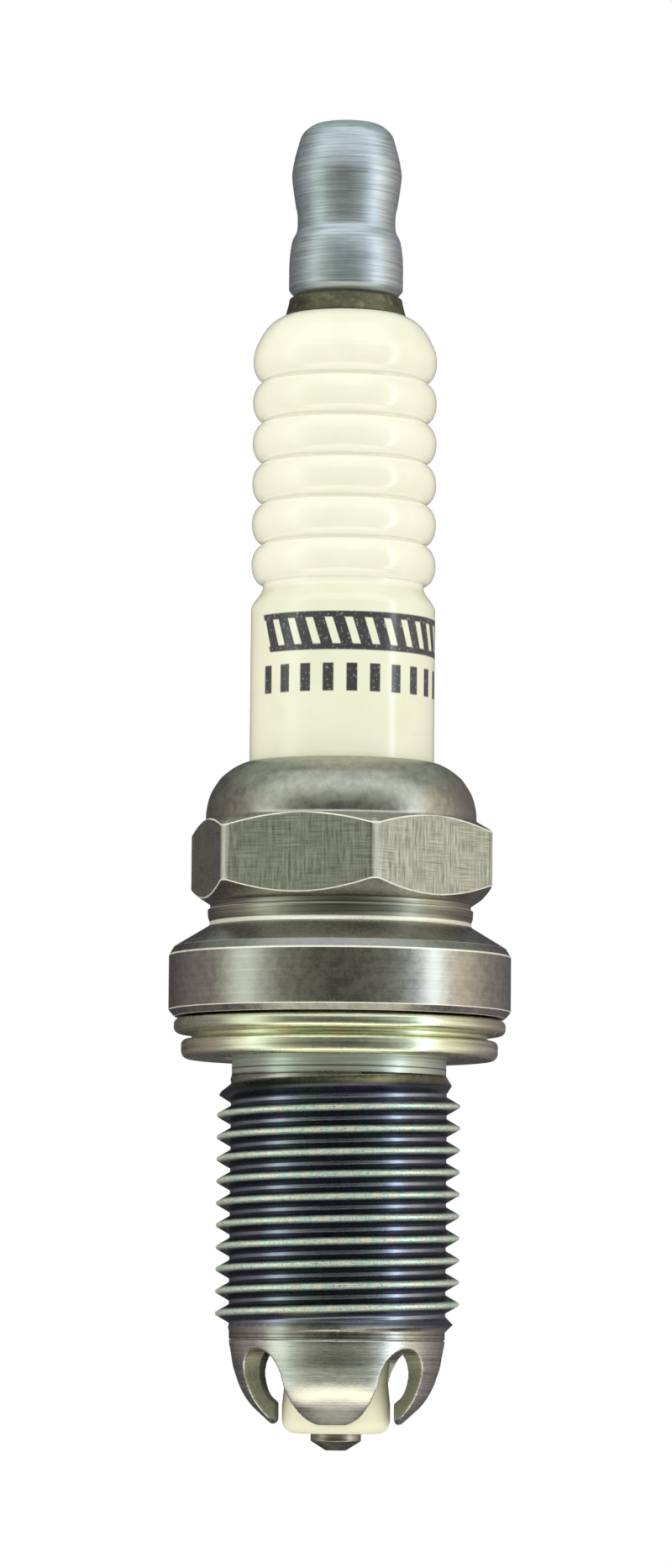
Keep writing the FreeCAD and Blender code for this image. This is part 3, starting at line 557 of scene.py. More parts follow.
def insulator_piece():
    """Porcelain with five ribs, a domed top, the shoulder inside the shell and the nose."""
    half = (RIB_PITCH - GROOVE_FLOOR) / 2
    depth = BARREL_R - RIB_ROOT_R
    path = rounded(
        [
            (1.48, -23.6, 0, 0), (3.07, -23.6, 1.2, 0), (3.07, -22.0, 0.6, 0), (2.93, -20.7, 0.8, 0),
            (3.7, -10.45, 0, 0), (4.6, -9.45, 0, 0), (4.6, 0.85, 0, 0), (6.15, 2.4, 0, 0),
            (6.15, 9.3, 0, 0), (5.85, 9.6, 0, 0), (BARREL_R, 9.6, 0, 0), (BARREL_R, 14.0, 0, 0),
        ],
        steps=8,
    )
    last_z = FIRST_GROOVE_Z - 5 * RIB_PITCH
    for k in range(11):
        t = k / 10
        path.append((BARREL_R - depth * (t * t * (3 - 2 * t)), last_z - 1.45 + 1.36 * t, 0))
    for i in range(5, 0, -1):
        middle = FIRST_GROOVE_Z - (i - 0.5) * RIB_PITCH
        for k in range(25):
            a = math.pi * (k / 24 - 0.5)
            path.append((RIB_ROOT_R + depth * math.cos(a), middle + half * math.sin(a), 0))
    first_middle = FIRST_GROOVE_Z + GROOVE_FLOOR / 2 + half
    for k in range(13):
        a = math.pi / 2 * (k / 12 - 1)
        path.append((RIB_ROOT_R + depth * math.cos(a), first_middle + half * math.sin(a), 0))
    path += smooth(
        [
            (BARREL_R, 38.0), (5.22, 38.35), (5.10, 38.68), (4.96, 38.97), (4.81, 39.27),
            (4.62, 39.56), (4.38, 39.85), (4.05, 40.12), (3.7, 40.33), (3.5, 40.4),
        ],
        steps=4,
    )
    path += [(2.05, 40.4, 0), (2.05, -4.8, 0), (1.48, -5.37, 0)]
    return lathe("insulator_look", path, INSULATOR_SEGMENTS)


def nut_piece():
    """The snap terminal, with its rounded head, neck and base."""
    outside = smooth(
        [
            (3.29, 43.35), (3.27, 43.8), (3.22, 44.3), (3.12, 44.85), (2.98, 45.15), (2.87, 45.4),
            (2.83, 45.75), (2.83, 46.2), (2.86, 46.55), (2.94, 46.9), (3.02, 47.4), (3.1, 47.95),
            (3.16, 48.45), (3.17, 48.75), (3.13, 49.1), (3.04, 49.6), (2.94, 50.0), (2.83, 50.4),
            (2.66, 50.95), (2.42, 51.28), (2.05, 51.56), (1.7, 51.68), (1.2, 51.7),
        ],
        steps=5,
    )
    lower = rounded(
        [(2.0, 41.45, 0, 0), (2.84, 41.45, 0.05, 0.5), (3.29, 42.0, 0.08, 0.6), (3.29, 43.35, 0, 0)],
        steps=4,
    )
    path = lower[:-1] + outside + [(0, 51.7, 0), (0, 50.0, 0), (2.03, 50.0, 0), (2.03, 41.45, 0)]
    return lathe("terminal_nut_look", path, NUT_SEGMENTS)


def stud_piece():
    """The stud: threaded end, collar on the porcelain and the shank in the bore."""
    theta = np.arange(STUD_SEGMENTS) * TAU / STUD_SEGMENTS
    low, high = STUD_LOW_Z, STUD_HIGH_Z
    path = [(STUD_ROOT_R - 0.1, high, 0), (1.45, 49.3, 0), (0, 49.3, 0), (0, 9.4, 0)]
    path += [(1.65, 9.4, 0), (1.95, 9.7, 0)]
    for i in range(GRIP_COUNT):
        z = GRIP_START_Z + GRIP_PITCH * i
        path += [(1.95, z, 0), (1.75, z, 0), (1.75, z + GRIP_WIDTH, 0), (1.95, z + GRIP_WIDTH, 0)]
    path += [(1.95, 40.4, 0), (3.4, 40.4, 0)]
    path += smooth([(3.49, 40.44), (3.44, 40.62), (3.36, 40.9), (3.29, 41.2), (3.26, 41.4)], 4)
    path += [(3.22, 41.45, 0), (1.48, 41.45, 0), (1.48, 42.1, 0), (STUD_ROOT_R - 0.1, low, 0)]
    path = np.array(path)
    wide = np.ones(len(theta))
    r, z, wear_and_sheen = (np.outer(path[:, k], wide) for k in range(3))
    verts, faces, wear_and_sheen = sheet(r, z, wear_and_sheen, theta, False)

    def envelope(z):
        from_low = STUD_RUN_OUT_R + (z - low) * STUD_RUN_OUT
        return np.minimum(from_low, STUD_RUN_OUT_R + (high - z) * STUD_RUN_OUT)

    section = thread_section(STUD_ROOT_R, STUD_THREAD_R, STUD_PITCH, STUD_ROOT_SHARE, 2)
    more, more_faces, crest = thread_sheet(
        section, STUD_PITCH, 0, STUD_PHASE_Z, low, high, envelope, theta, len(verts)
    )
    crest = np.concatenate([np.zeros(len(verts)), crest])
    everything = np.concatenate([verts, more])
    return finish_mesh("terminal_stud_look", everything, faces + more_faces, {"crest": crest})


def gasket_piece():
    """Folded sheet: two lips outside with a waist between, slightly uneven round its edge."""
    path = rounded(
        [
            (6.6, -0.10, 0, 0), (9.5, -0.10, 0.34, 0.8), (9.5, -0.95, 0.34, 0.8), (8.45, -0.97, 0.12, 0),
            (8.45, -1.3, 0.12, 0), (9.06, -1.3, 0.42, 0.8), (9.06, -2.4, 0.42, 0.8), (6.6, -2.4, 0.4, 0),
            (6.6, -1.95, 0, 0), (6.9, -1.95, 0, 0), (7.05, -2.1, 0, 0), (8.6, -2.1, 0.2, 0),
            (8.6, -1.6, 0.2, 0), (8.15, -1.55, 0.1, 0), (8.15, -0.7, 0.1, 0), (9.1, -0.7, 0.12, 0),
            (9.1, -0.4, 0.12, 0), (6.6, -0.4, 0, 0),
        ],
        steps=6,
        closed=True,
    )
    piece = lathe("gasket_look", path, GASKET_SEGMENTS)
    count = len(piece.data.vertices)
    place = np.zeros(count * 3)
    piece.data.vertices.foreach_get("co", place)
    place = place.reshape(-1, 3)
    angle = np.arctan2(place[:, 1], place[:, 0])
    radius = np.hypot(place[:, 0], place[:, 1])
    share = np.clip((radius / MM - GASKET_WAVE_FROM_R) / GASKET_WAVE_RISE, 0, 1)
    wave = 0.012 * np.sin(5 * angle + 0.6) + 0.009 * np.sin(13 * angle + 2) - 0.021
    place[:, :2] *= (1 + share * wave / 9)[:, None]
    piece.data.vertices.foreach_set("co", place.reshape(-1))
    weigh_normals(piece.data)
    return piece


def electrode_piece():
    """The centre electrode: chamfered tip, rod, head and the bore for its copper core."""
    path = rounded(
        [
            (0, -24.55, 0, 0), (0.58, -24.55, 0.05, 0.5), (1.43, -24.02, 0.08, 0.7), (1.43, -5.32, 0, 0),
            (1.95, -4.8, 0, 0), (1.95, -4.8, 0, 0), (0.7, -4.8, 0, 0), (0.7, -21.2, 0, 0), (0, -21.2, 0, 0),
        ],
        steps=4,
    )
    return lathe("centre_electrode_look", path, ELECTRODE_SEGMENTS)


# ---- materials ---------------------------------------------------------------------------

class Graph:
    """Short names for building a node tree. Angle 0 is the camera's side, and rises to its right."""

    def __init__(self, tree, source, scale):
        self.tree = tree
        place = self.node("ShaderNodeTexCoord", {}).outputs[source]
        scaled = self.node("ShaderNodeVectorMath", {0: place, 1: (scale, scale, scale)}, operation="MULTIPLY")
        self.place = scaled.outputs[0]
        split = self.node("ShaderNodeSeparateXYZ", {0: self.place}).outputs
        self.x, self.y, self.z = split[0], split[1], split[2]
        self.angle = self.math("ARCTAN2", self.x, self.math("MULTIPLY", self.y, -1.0))

    def node(self, kind, values, **settings):
        made = self.tree.nodes.new(kind)
        for key, value in settings.items():
            setattr(made, key, value)
        for key, value in values.items():
            self.put(made.inputs[key], value)
        return made

    def put(self, socket, value):
        if isinstance(value, bpy.types.NodeSocket):
            self.tree.links.new(value, socket)
        elif isinstance(value, tuple) and socket.type == "RGBA":
            socket.default_value = (*value, 1) if len(value) == 3 else value
        else:
            socket.default_value = value

    def math(self, op, a, b=0.0, c=0.0):
        return self.node("ShaderNodeMath", {0: a, 1: b, 2: c}, operation=op).outputs[0]

    def noise(self, scale, stretch=(1, 1, 1), detail=3.0, rough=0.55, polar=False):
        """Noise per millimetre; a polar one runs round the axis and along it."""
        if polar:
            around = self.math("MULTIPLY", self.angle, 6.0)
            start = self.node("ShaderNodeCombineXYZ", {0: around, 1: self.z, 2: 0.0}).outputs[0]
        else:
            start = self.place
        vector = self.node("ShaderNodeVectorMath", {0: start, 1: stretch}, operation="MULTIPLY").outputs[0]
        made = self.node(
            "ShaderNodeTexNoise",
            {"Vector": vector, "Scale": scale, "Detail": detail, "Roughness": rough},
        )
        return made.outputs[0]

    def ramp(self, value, low, high, to_low=0.0, to_high=1.0):
        made = self.node(
            "ShaderNodeMapRange",
            {"Value": value, "From Min": low, "From Max": high, "To Min": to_low, "To Max": to_high},
            interpolation_type="SMOOTHSTEP",
        )
        return made.outputs[0]

    def band(self, value, low, high, soft=0.05):
        rise = self.ramp(value, low - soft, low + soft)
        fall = self.ramp(value, high - soft, high + soft, 1.0, 0.0)
        return self.math("MULTIPLY", rise, fall)

    def mix(self, share, a, b):
        made = self.node("ShaderNodeMix", {0: share, 6: a, 7: b}, data_type="RGBA")
        return made.outputs[2]

    def attribute(self, name):
        return self.node("ShaderNodeAttribute", {}, attribute_name=name).outputs["Fac"]

    def bump(self, height, distance_mm, strength=1.0, under=None):
        values = {"Height": height, "Distance": distance_mm * MM, "Strength": strength}
        if under is not None:
            values["Normal"] = under
        return self.node("ShaderNodeBump", values).outputs[0]


class Finish(Graph):
    """One procedural material, with its positions in millimetres."""

    def __init__(self, name):
        self.material = bpy.data.materials.new(name)
        self.material.use_nodes = True
        self.bsdf = self.material.node_tree.nodes["Principled BSDF"]
        super().__init__(self.material.node_tree, "Object", 1000)

    def set(self, **values):
        for key, value in values.items():
            self.put(self.bsdf.inputs[key.replace("_", " ")], value)
        return self.material


def shell_finish():
    """Plated steel: scratched hexagon, worn edges with painted highlights, tinted thread flanks with painted
    highlights in the roots, crests worn bright and partly a painted highlight, painted shade under the
    hexagon and on the cone, painted light on the neck.
    """
    f = Finish("shell_steel")
    wear_and_sheen, crest, flat = (f.attribute(k) for k in ("wear_and_sheen", "crest", "flat"))
    threaded = f.band(f.z, THREAD_BOTTOM_Z + 0.3, THREAD_TOP_Z - 0.5, 0.15)
    mottle = f.noise(2.0, detail=6, rough=0.68)
    upright = f.noise(1.0, (11, 0.55, 1), detail=6, rough=0.75, polar=True)
    level = f.noise(1.0, (0.6, 12, 1), detail=5, rough=0.7, polar=True)
    turned = f.noise(1.0, (0.12, 7, 1), detail=4, rough=0.6, polar=True)
    fine = f.noise(9.0, detail=4, rough=0.7)
    patches = f.ramp(f.noise(0.5, detail=2), 0.45, 0.6)
    scratch = f.math("MULTIPLY", upright, f.math("MULTIPLY_ADD", patches, -0.45, 0.85))
    scratch = f.math("MULTIPLY_ADD", level, f.math("MULTIPLY_ADD", patches, 0.45, 0.15), scratch)
    dome = f.ramp(f.z, *DOME_Z)
    under = f.band(f.z, *SHADED_UNDER_HEX_Z, 0.12)
    neck = f.band(f.z, *LIT_NECK_Z, 0.05)
    plain = f.mix(f.ramp(mottle, 0.3, 0.7), (0.40, 0.385, 0.335), (0.52, 0.50, 0.43))
    plain = f.mix(f.ramp(turned, 0.45, 0.7, 0.0, 0.6), plain, (0.60, 0.56, 0.53))
    plain = f.mix(dome, plain, f.mix(f.ramp(mottle, 0.3, 0.7), (0.34, 0.33, 0.27), (0.50, 0.48, 0.40)))
    # painted shade: the cone between the band and the flange is painted darker
    plain = f.mix(f.math("MULTIPLY", f.band(f.z, *SHADED_CONE_Z, 0.1), 0.42), plain, (0.10, 0.10, 0.09))
    # painted shade: the band under the hexagon is painted darker, as shaded by the hexagon and flange
    plain = f.mix(under, plain, f.mix(f.ramp(turned, 0.4, 0.62), (0.22, 0.22, 0.18), (0.46, 0.45, 0.34)))
    # painted light: the neck under the gasket is painted lighter, against its shade
    plain = f.mix(neck, plain, f.mix(f.ramp(turned, 0.4, 0.65), (0.50, 0.56, 0.50), (0.74, 0.80, 0.70)))
    faces = f.mix(f.ramp(scratch, 0.36, 0.64), (0.23, 0.24, 0.19), (0.62, 0.61, 0.49))
    body = f.mix(flat, plain, faces)
    purple = f.noise(0.35, detail=2)
    flank = f.mix(f.ramp(purple, 0.40, 0.62), (0.085, 0.108, 0.112), (0.10, 0.093, 0.148))
    flank = f.mix(f.ramp(turned, 0.5, 0.75, 0.0, 0.5), flank, (0.24, 0.27, 0.26))
    # painted highlight: light bluish lines painted in the thread roots
    flank = f.mix(f.ramp(crest, 0.14, 0.02, 0.0, 0.6), flank, (0.50, 0.53, 0.62))
    # bright crests: worn bare metal, and partly a painted highlight along each crest
    glitter = f.ramp(fine, 0.30, 0.56, 0.45, 1.0)
    bright = f.math("MULTIPLY", f.ramp(crest, 0.58, 0.95), glitter)
    thread = f.mix(bright, flank, f.mix(f.ramp(mottle, 0.4, 0.6), (0.66, 0.92, 0.80), (0.95, 0.92, 0.72)))
    colour = f.mix(threaded, body, thread)
    for low, high in TURNED_LINES_Z:
        colour = f.mix(f.math("MULTIPLY", f.band(f.z, low, high, 0.02), 0.8), colour, (0.06, 0.07, 0.07))
    # worn edges with a painted highlight: near-white is painted along the rounded edges and arrises
    edge = f.math("MULTIPLY", f.ramp(wear_and_sheen, 0.15, 0.6), f.ramp(fine, 0.25, 0.5, 0.6, 1.0))
    colour = f.mix(edge, colour, (1.0, 0.98, 0.82))
    rough = f.math("ADD", f.ramp(mottle, 0.3, 0.7, 0.23, 0.32), f.math("MULTIPLY", flat, 0.12))
    rough = f.math("ADD", rough, f.math("MULTIPLY", f.math("MAXIMUM", edge, bright), 0.2))
    dulled = f.math("MAXIMUM", dome, f.math("MAXIMUM", under, neck))
    rough = f.math("ADD", rough, f.math("MULTIPLY", dulled, 0.08))
    scatter = f.math("MAXIMUM", f.math("MULTIPLY", edge, 0.4), f.math("MULTIPLY", bright, 0.38))
    # the neck scatters more, part of its painted light
    scatter = f.math("MAXIMUM", scatter, f.math("MULTIPLY", neck, 0.25))
    normal = f.bump(scratch, 0.022, f.math("MULTIPLY", flat, 0.9))
    normal = f.bump(turned, 0.005, 0.5, normal)
    normal = f.bump(fine, 0.003, 0.5, normal)
    metal = f.math("SUBTRACT", 1.0, scatter)
    return f.set(Base_Color=colour, Metallic=metal, Roughness=rough, Normal=normal)


def porcelain_finish():
    """Ivory glaze with a plain printed band and row of marks, the ribs and grooves painted lighter as painted
    light; bare and matt on the nose.
    """
    f = Finish("porcelain")
    cloud = f.noise(0.35, detail=3)
    speck = f.noise(6.0, detail=2)
    ivory = f.mix(f.ramp(cloud, 0.35, 0.65), (0.80, 0.82, 0.62), (0.84, 0.85, 0.67))
    # painted light: the grooves between the ribs are painted paler, against their shade
    step = f.math("FRACT", f.math("MULTIPLY_ADD", f.z, 1 / RIB_PITCH, 40.5 - FIRST_GROOVE_Z / RIB_PITCH))
    groove_light_span = f.band(f.z, FIRST_GROOVE_Z - 5 * RIB_PITCH - 0.5, LAST_LIT_GROOVE_Z, 0.2)
    groove_painted_light = f.math("MULTIPLY", f.band(step, 0.38, 0.62, 0.14), groove_light_span)
    # painted light: the ribbed part is painted lighter than the barrel below it
    painted_lit_ribs = f.mix(f.ramp(cloud, 0.35, 0.65), (0.85, 0.86, 0.68), (0.89, 0.89, 0.73))
    ivory = f.mix(f.band(f.z, *PAINTED_LIT_RIBS_Z, 0.3), ivory, painted_lit_ribs)
    ivory = f.mix(groove_painted_light, ivory, (0.95, 0.95, 0.82))
    slant = f.math("ADD", f.angle, f.math("MULTIPLY", f.z, PRINT_SLANT))
    around = f.band(slant, *PRINT_BLOCK_ANGLE, 0.02)
    patch = f.math("MULTIPLY", around, f.band(f.z, *PRINT_BLOCK_Z, 0.05))
    stripe = f.math("FRACT", f.math("MULTIPLY", slant, PRINT_BARS_PER_RADIAN))
    bars = f.math("MULTIPLY", f.band(stripe, 0.28, 0.68, 0.03), f.band(f.z, *PRINT_BARS_Z, 0.05))
    fleck = f.ramp(speck, 0.3, 0.42, 0.75, 1.0)
    ink = f.math("MULTIPLY", patch, f.math("SUBTRACT", 1.0, bars))
    marks = f.band(f.math("FRACT", f.math("MULTIPLY", f.angle, MARKS_PER_RADIAN)), 0.16, 0.62, 0.03)
    field = f.math("MULTIPLY", f.band(f.z, *MARKS_Z, 0.05), f.band(f.angle, *MARKS_ANGLE, 0.02))
    row = f.math("MULTIPLY", marks, field)
    ink = f.math("MULTIPLY", f.math("MAXIMUM", ink, row), fleck)
    colour = f.mix(ink, ivory, (0.055, 0.055, 0.06))
    bare = f.ramp(f.z, *BARE_NOSE_Z, 1.0, 0.0)
    grain = f.noise(14.0, detail=5, rough=0.7)
    nose = f.mix(f.ramp(grain, 0.35, 0.65), (0.98, 0.94, 0.66), (1.0, 0.99, 0.76))
    colour = f.mix(bare, colour, nose)
    rough = f.math("ADD", f.math("MULTIPLY", bare, 0.45), f.ramp(speck, 0.3, 0.7, 0.06, 0.11))
    normal = f.bump(cloud, 0.03, 0.25)
    return f.set(Base_Color=colour, Roughness=rough, Normal=normal, IOR=1.52)


def turned_finish(name, dark, light, tint, rough_low, rough_high, line=9.0, depth=0.012, patch=1.2):
    """Turned metal: fine rings, cloudy tint and small pits."""
    f = Finish(name)
    rings = f.noise(1.0, (0.12, line, 1), detail=5, rough=0.7, polar=True)
    cloud = f.noise(patch, detail=5, rough=0.62)
    pits = f.noise(11.0, detail=3, rough=0.7)
    colour = f.mix(f.ramp(rings, 0.36, 0.64), dark, light)
    colour = f.mix(f.ramp(cloud, 0.48, 0.72, 0.0, 0.7), colour, tint)
    uneven = f.math("ADD", f.math("MULTIPLY", rings, 0.6), f.math("MULTIPLY", cloud, 0.4))
    rough = f.ramp(uneven, 0.3, 0.7, rough_low, rough_high)
    normal = f.bump(rings, depth, 0.9)
    normal = f.bump(pits, 0.005, 0.6, normal)
    return f.set(Base_Color=colour, Metallic=1.0, Roughness=rough, Normal=normal)


def crown_finish():
    """Brushed nickel alloy outside, coarser moss-grey cut faces, painted shade inside the cup and a painted
    shaded band round the cup.
    """
    f = Finish("crown_nickel")
    cut, inner = f.attribute("cut"), f.attribute("inner")
    brushed = f.noise(1.0, (0.06, 13, 1), detail=5, rough=0.7, polar=True)
    broken = f.noise(1.0, (1.2, 20, 1), detail=4, rough=0.7, polar=True)
    grain = f.noise(7.0, detail=5, rough=0.7)
    line = f.math("ADD", f.math("MULTIPLY", brushed, 0.6), f.math("MULTIPLY", broken, 0.4))
    outside = f.mix(f.ramp(line, 0.40, 0.60), (0.54, 0.54, 0.49), (0.80, 0.79, 0.70))
    shaded = f.mix(f.ramp(line, 0.4, 0.6), (0.38, 0.39, 0.35), (0.70, 0.70, 0.60))
    outside = f.mix(f.band(f.z, *CUP_SHADED_Z, 0.25), outside, shaded)
    sheared = f.mix(f.ramp(grain, 0.38, 0.66), (0.50, 0.55, 0.36), (0.98, 1.0, 0.77))
    colour = f.mix(cut, outside, sheared)
    # painted shade: the inside of the cup is painted near-black
    colour = f.mix(f.math("MULTIPLY", inner, 0.75), colour, (0.16, 0.16, 0.15))
    rough = f.math("ADD", f.ramp(line, 0.35, 0.65, 0.20, 0.34), f.math("MULTIPLY", cut, 0.25))
    normal = f.bump(line, 0.008, 0.8)
    normal = f.bump(grain, 0.012, 0.5, normal)
    metal = f.math("MULTIPLY_ADD", cut, -0.25, 1.0)
    return f.set(Base_Color=colour, Metallic=metal, Roughness=rough, Normal=normal)


def grainy_finish(name, dark, light, metallic, rough_low, rough_high, scale):
    """A plain grainy finish for what is sealed inside."""
    f = Finish(name)
    grain = f.noise(scale, detail=6, rough=0.7)
    coarse = f.noise(scale / 6, detail=3)
    colour = f.mix(f.ramp(f.math("MULTIPLY", f.math("ADD", grain, coarse), 0.5), 0.35, 0.65), dark, light)
    normal = f.bump(grain, 0.02, 0.8)
    rough = f.ramp(grain, 0.3, 0.7, rough_low, rough_high)
    return f.set(Base_Color=colour, Metallic=metallic, Roughness=rough, Normal=normal)


# ---- put together ------------------------------------------------------------------------

FINISHES = {
    "nut_plating": turned_finish(
        "nut_plating", (0.40, 0.44, 0.45), (0.68, 0.73, 0.74), (0.54, 0.62, 0.72), 0.40, 0.50, 9.0, 0.004
    ),
    "stud_steel": turned_finish(
        "stud_steel",
        (0.11, 0.10, 0.065),
        (0.17, 0.155, 0.09),
        (0.36, 0.33, 0.19),
        0.38,
        0.55,
        line=1.2,
        depth=0.01,
        patch=2.2,
    ),
    "porcelain": porcelain_finish(),
    "shell_steel": shell_finish(),
    "crown_nickel": crown_finish(),
    "electrode_nickel": turned_finish(
        "electrode_nickel", (0.22, 0.20, 0.15), (0.50, 0.46, 0.36), (0.34, 0.28, 0.24), 0.28, 0.44, 6.0
    ),
    "gasket_zinc": turned_finish(
        "gasket_zinc", (0.60, 0.63, 0.43), (0.97, 0.99, 0.76), (0.86, 0.72, 0.50), 0.22, 0.34, 4.0, 0.02, 0.6
    ),
    "seal_glass": grainy_finish("seal_glass", (0.05, 0.05, 0.05), (0.20, 0.16, 0.12), 0.3, 0.25, 0.5, 8.0),
    "resistor_glass": grainy_finish(
        "resistor_glass", (0.06, 0.06, 0.06), (0.22, 0.20, 0.18), 0.0, 0.4, 0.6, 10.0
    ),
    "copper": grainy_finish("copper", (0.55, 0.26, 0.15), (0.82, 0.48, 0.32), 1.0, 0.25, 0.4, 9.0),
    "washer_steel": grainy_finish(
        "washer_steel", (0.36, 0.36, 0.35), (0.62, 0.62, 0.60), 1.0, 0.3, 0.45, 12.0
    ),
    "talc": grainy_finish("talc", (0.68, 0.66, 0.60), (0.88, 0.86, 0.80), 0.0, 0.7, 0.9, 14.0),
}

PIECES = {
    "terminal_nut": (nut_piece, "terminal", "nut_plating"),
    "terminal_stud": (stud_piece, "plug", "stud_steel"),
    "insulator": (insulator_piece, "plug", "porcelain"),
    "shell": (shell_piece, "plug", "shell_steel"),
    "ground_electrode_crown": (crown_piece, "plug", "crown_nickel"),
    "gasket": (gasket_piece, "seal_ring", "gasket_zinc"),
    "centre_electrode": (electrode_piece, "plug", "electrode_nickel"),
}

slots = {part["node"]: part["material_slot"] for part in frame["record"]["subparts"]}
for node, part in frame["nodes"].items():
    part.data.materials.clear()
    part.data.materials.append(FINISHES[slots[node]])
for node, (build, body, slot) in PIECES.items():
    piece = build()
    piece.data.materials.clear()
    piece.data.materials.append(FINISHES[slot])
    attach(piece, body)
    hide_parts(node)
    print(piece.name, "faces", len(piece.data.polygons))


# ---- studio ------------------------------------------------------------------------------

# the room's light by angle round the object: (degrees from the camera's side, radiance)
PANORAMA_PEAK = 5.0
PANORAMA = [
    (-180, (0.06, 0.055, 0.065)),
    (-150, (0.085, 0.08, 0.085)),
    (-112, (0.27, 0.25, 0.26)),
    (-88, (0.30, 0.27, 0.28)),
    (-80, (0.75, 0.78, 0.72)),
    (-74, (1.20, 1.32, 1.24)),
    (-62, (1.35, 1.52, 1.45)),
    (-55, (0.60, 0.64, 0.58)),
    (-36, (0.24, 0.25, 0.20)),
    (-14, (0.11, 0.11, 0.095)),
    (0, (0.075, 0.075, 0.07)),
    (14, (0.11, 0.11, 0.10)),
    (36, (0.22, 0.23, 0.21)),
    (54, (0.45, 0.48, 0.50)),
    (60, (1.3, 1.5, 1.7)),
    (64, (3.2, 3.6, 4.0)),
    (67, (3.2, 3.6, 4.0)),
    (72, (1.2, 1.3, 1.35)),
    (78, (0.98, 0.88, 0.72)),
    (96, (0.84, 0.78, 0.66)),
    (112, (0.40, 0.36, 0.37)),
    (150, (0.18, 0.16, 0.18)),
    (180, (0.06, 0.055, 0.065)),
]
FRAME_LINE = (2.4, 2.6, 2.4)
TOP_PANEL = (1.18, 1.28, 1.38)
TOP_BACK = (0.42, 0.50, 0.46)
LOW_PANEL = (2.0, 1.98, 1.7)
LOW_BACK = (0.12, 0.11, 0.13)
LOW_FLOOR = (0.70, 0.70, 0.64)
FILL_FRONT = (0.92, 0.97, 0.92)
FILL_SIDE = (1.05, 0.98, 0.96)
TOP_PANEL_SPAN = (0.56, 0.96)
LOW_PANEL_SPAN = (-0.93, -0.72)
FRAME_LINE_DEG = (-58, 66)
SOFTBOX_AIM_Z = 12.0
FLOOR_R = 58
FLOOR_THICK = 2
FLOOR_Z = -35
CAMERA_PLACE = (-0.04, -350.0, -18.0)
CAMERA_TILT_DEG = (90 + 5.13, -0.51)
LENS_LENGTH = 140.8


def softbox(name, azimuth, elevation, distance, width, height, radiance, colour=(1, 1, 1)):
    """A rectangular light for matt surfaces, placed by its direction from the object."""
    data = bpy.data.lights.new(name, "AREA")
    data.shape, data.size, data.size_y = "RECTANGLE", width * MM, height * MM
    data.energy = radiance * math.pi * width * height * MM * MM
    data.color = colour
    light = bpy.data.objects.new(name, data)
    bpy.context.scene.collection.objects.link(light)
    a, e = math.radians(azimuth), math.radians(elevation)
    aim = Vector((0, 0, SOFTBOX_AIM_Z)) * MM
    direction = Vector((math.sin(a) * math.cos(e), -math.cos(a) * math.cos(e), math.sin(e)))
    light.location = aim + direction * distance * MM
    light.rotation_mode = "QUATERNION"
    light.rotation_quaternion = direction.to_track_quat("Z", "Y")
    light.visible_camera = False
    light.visible_glossy = False


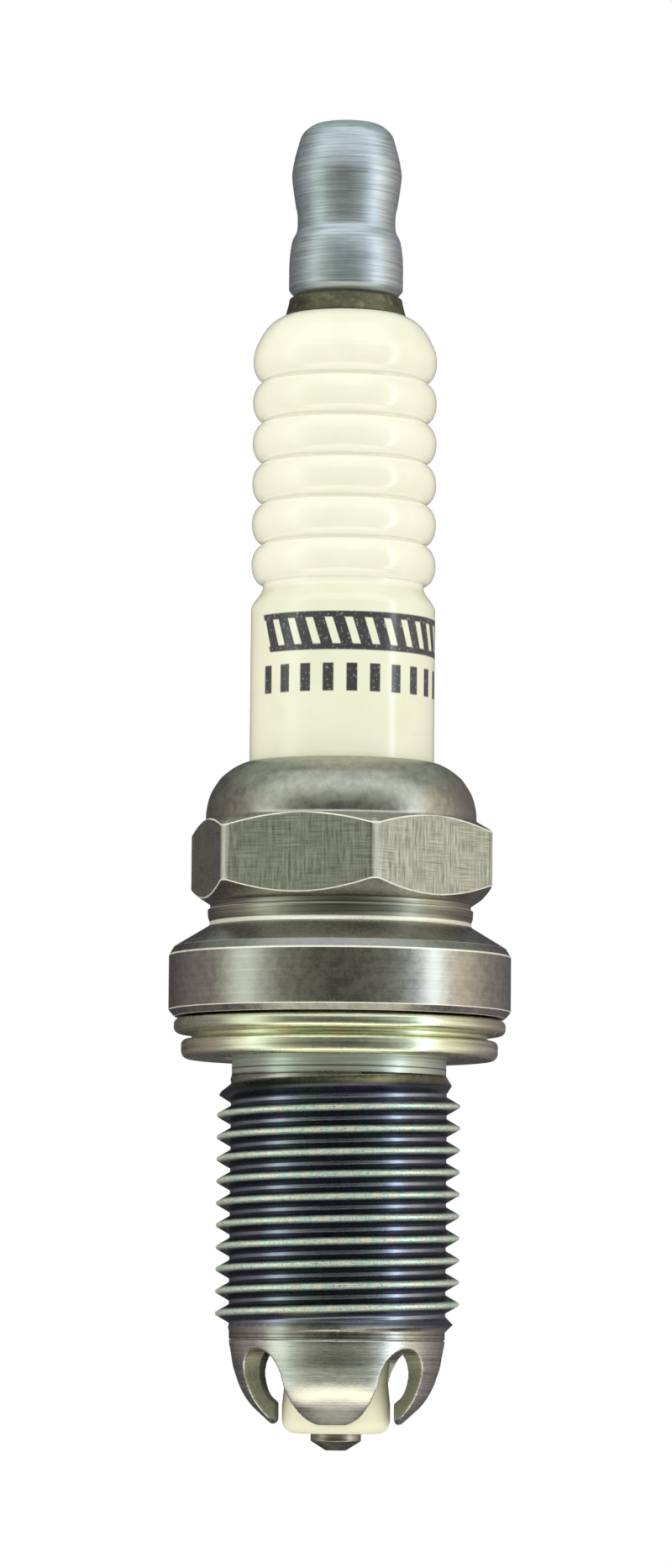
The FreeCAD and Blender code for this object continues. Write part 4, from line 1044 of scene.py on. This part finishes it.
def studio_world():
    """White to the camera, even light on matt surfaces, and a dark room with panels in reflections."""
    world = bpy.data.worlds.new("studio")
    bpy.context.scene.world = world
    world.use_nodes = True
    world.cycles.sampling_method = "NONE"
    world.node_tree.nodes.clear()
    g = Graph(world.node_tree, "Generated", 1)
    ramp = g.node("ShaderNodeValToRGB", {0: g.math("MULTIPLY_ADD", g.angle, 1 / TAU, 0.5)})
    stops = ramp.color_ramp.elements
    stops.remove(stops[-1])
    for degrees, colour in PANORAMA:
        stop = stops.new(degrees / 360 + 0.5) if degrees > -180 else stops[0]
        stop.color = (*(c / PANORAMA_PEAK for c in colour), 1)
    peak = g.node("ShaderNodeVectorMath", {0: ramp.outputs[0], 1: (PANORAMA_PEAK,) * 3}, operation="MULTIPLY")
    ahead = g.ramp(g.y, 0.05, -0.2)
    top = g.mix(g.math("MULTIPLY", ahead, g.band(g.z, *TOP_PANEL_SPAN, 0.015)), TOP_BACK, TOP_PANEL)
    low = g.mix(g.math("MULTIPLY", ahead, g.band(g.z, *LOW_PANEL_SPAN, 0.02)), LOW_BACK, LOW_PANEL)
    low = g.mix(g.math("MULTIPLY", g.ramp(g.y, 0.3, 0.0), g.ramp(g.z, -0.93, -0.97)), low, LOW_FLOOR)
    between = g.band(g.angle, *(math.radians(a) for a in FRAME_LINE_DEG), 0.04)
    lines = g.math("ADD", g.band(g.z, 0.47, 0.50, 0.008), g.band(g.z, -0.52, -0.50, 0.008))
    seen = g.mix(g.math("MULTIPLY", between, lines), peak.outputs[0], FRAME_LINE)
    seen = g.mix(g.ramp(g.z, 0.52, 0.57), seen, top)
    seen = g.mix(g.ramp(g.z, -0.60, -0.70), seen, low)
    rays = g.node("ShaderNodeLightPath", {}).outputs
    fill = g.mix(g.ramp(g.math("ABSOLUTE", g.x), 0.2, 0.9), FILL_FRONT, FILL_SIDE)
    seen = g.mix(rays["Is Diffuse Ray"], seen, fill)
    seen = g.mix(rays["Is Camera Ray"], seen, (1.0, 1.0, 1.0))
    background = g.node("ShaderNodeBackground", {0: seen})
    g.node("ShaderNodeOutputWorld", {0: background.outputs[0]})


studio_world()
softbox("strip_left", -62, 8, 420, 220, 520, 0.55)
softbox("strip_right", 62, 8, 420, 220, 520, 0.55)
softbox("overhead", 0, 60, 420, 420, 260, 0.5, (0.96, 0.98, 1.0))

bpy.ops.mesh.primitive_cylinder_add(
    vertices=96, radius=FLOOR_R * MM, depth=FLOOR_THICK * MM, location=(0, 0, FLOOR_Z * MM)
)
floor = bpy.context.object
floor.name = "floor"
pale = Finish("floor_pale")
dust = pale.noise(0.6, detail=4)
floor.data.materials.append(
    pale.set(
        Base_Color=pale.mix(pale.ramp(dust, 0.3, 0.7), (0.80, 0.80, 0.80), (0.84, 0.84, 0.83)),
        Roughness=pale.ramp(dust, 0.3, 0.7, 0.55, 0.7),
    )
)
floor.visible_glossy = False
floor.visible_shadow = False

lens = bpy.data.cameras.new("camera")
lens.sensor_width, lens.lens = 36.0, LENS_LENGTH
lens.clip_start, lens.clip_end = 0.01, 10.0
camera = bpy.data.objects.new("camera", lens)
bpy.context.scene.collection.objects.link(camera)
camera.location = Vector(CAMERA_PLACE) * MM
camera.rotation_euler = (*(math.radians(a) for a in CAMERA_TILT_DEG), 0)
bpy.context.scene.camera = camera
bpy.context.scene.view_settings.view_transform = "Standard"
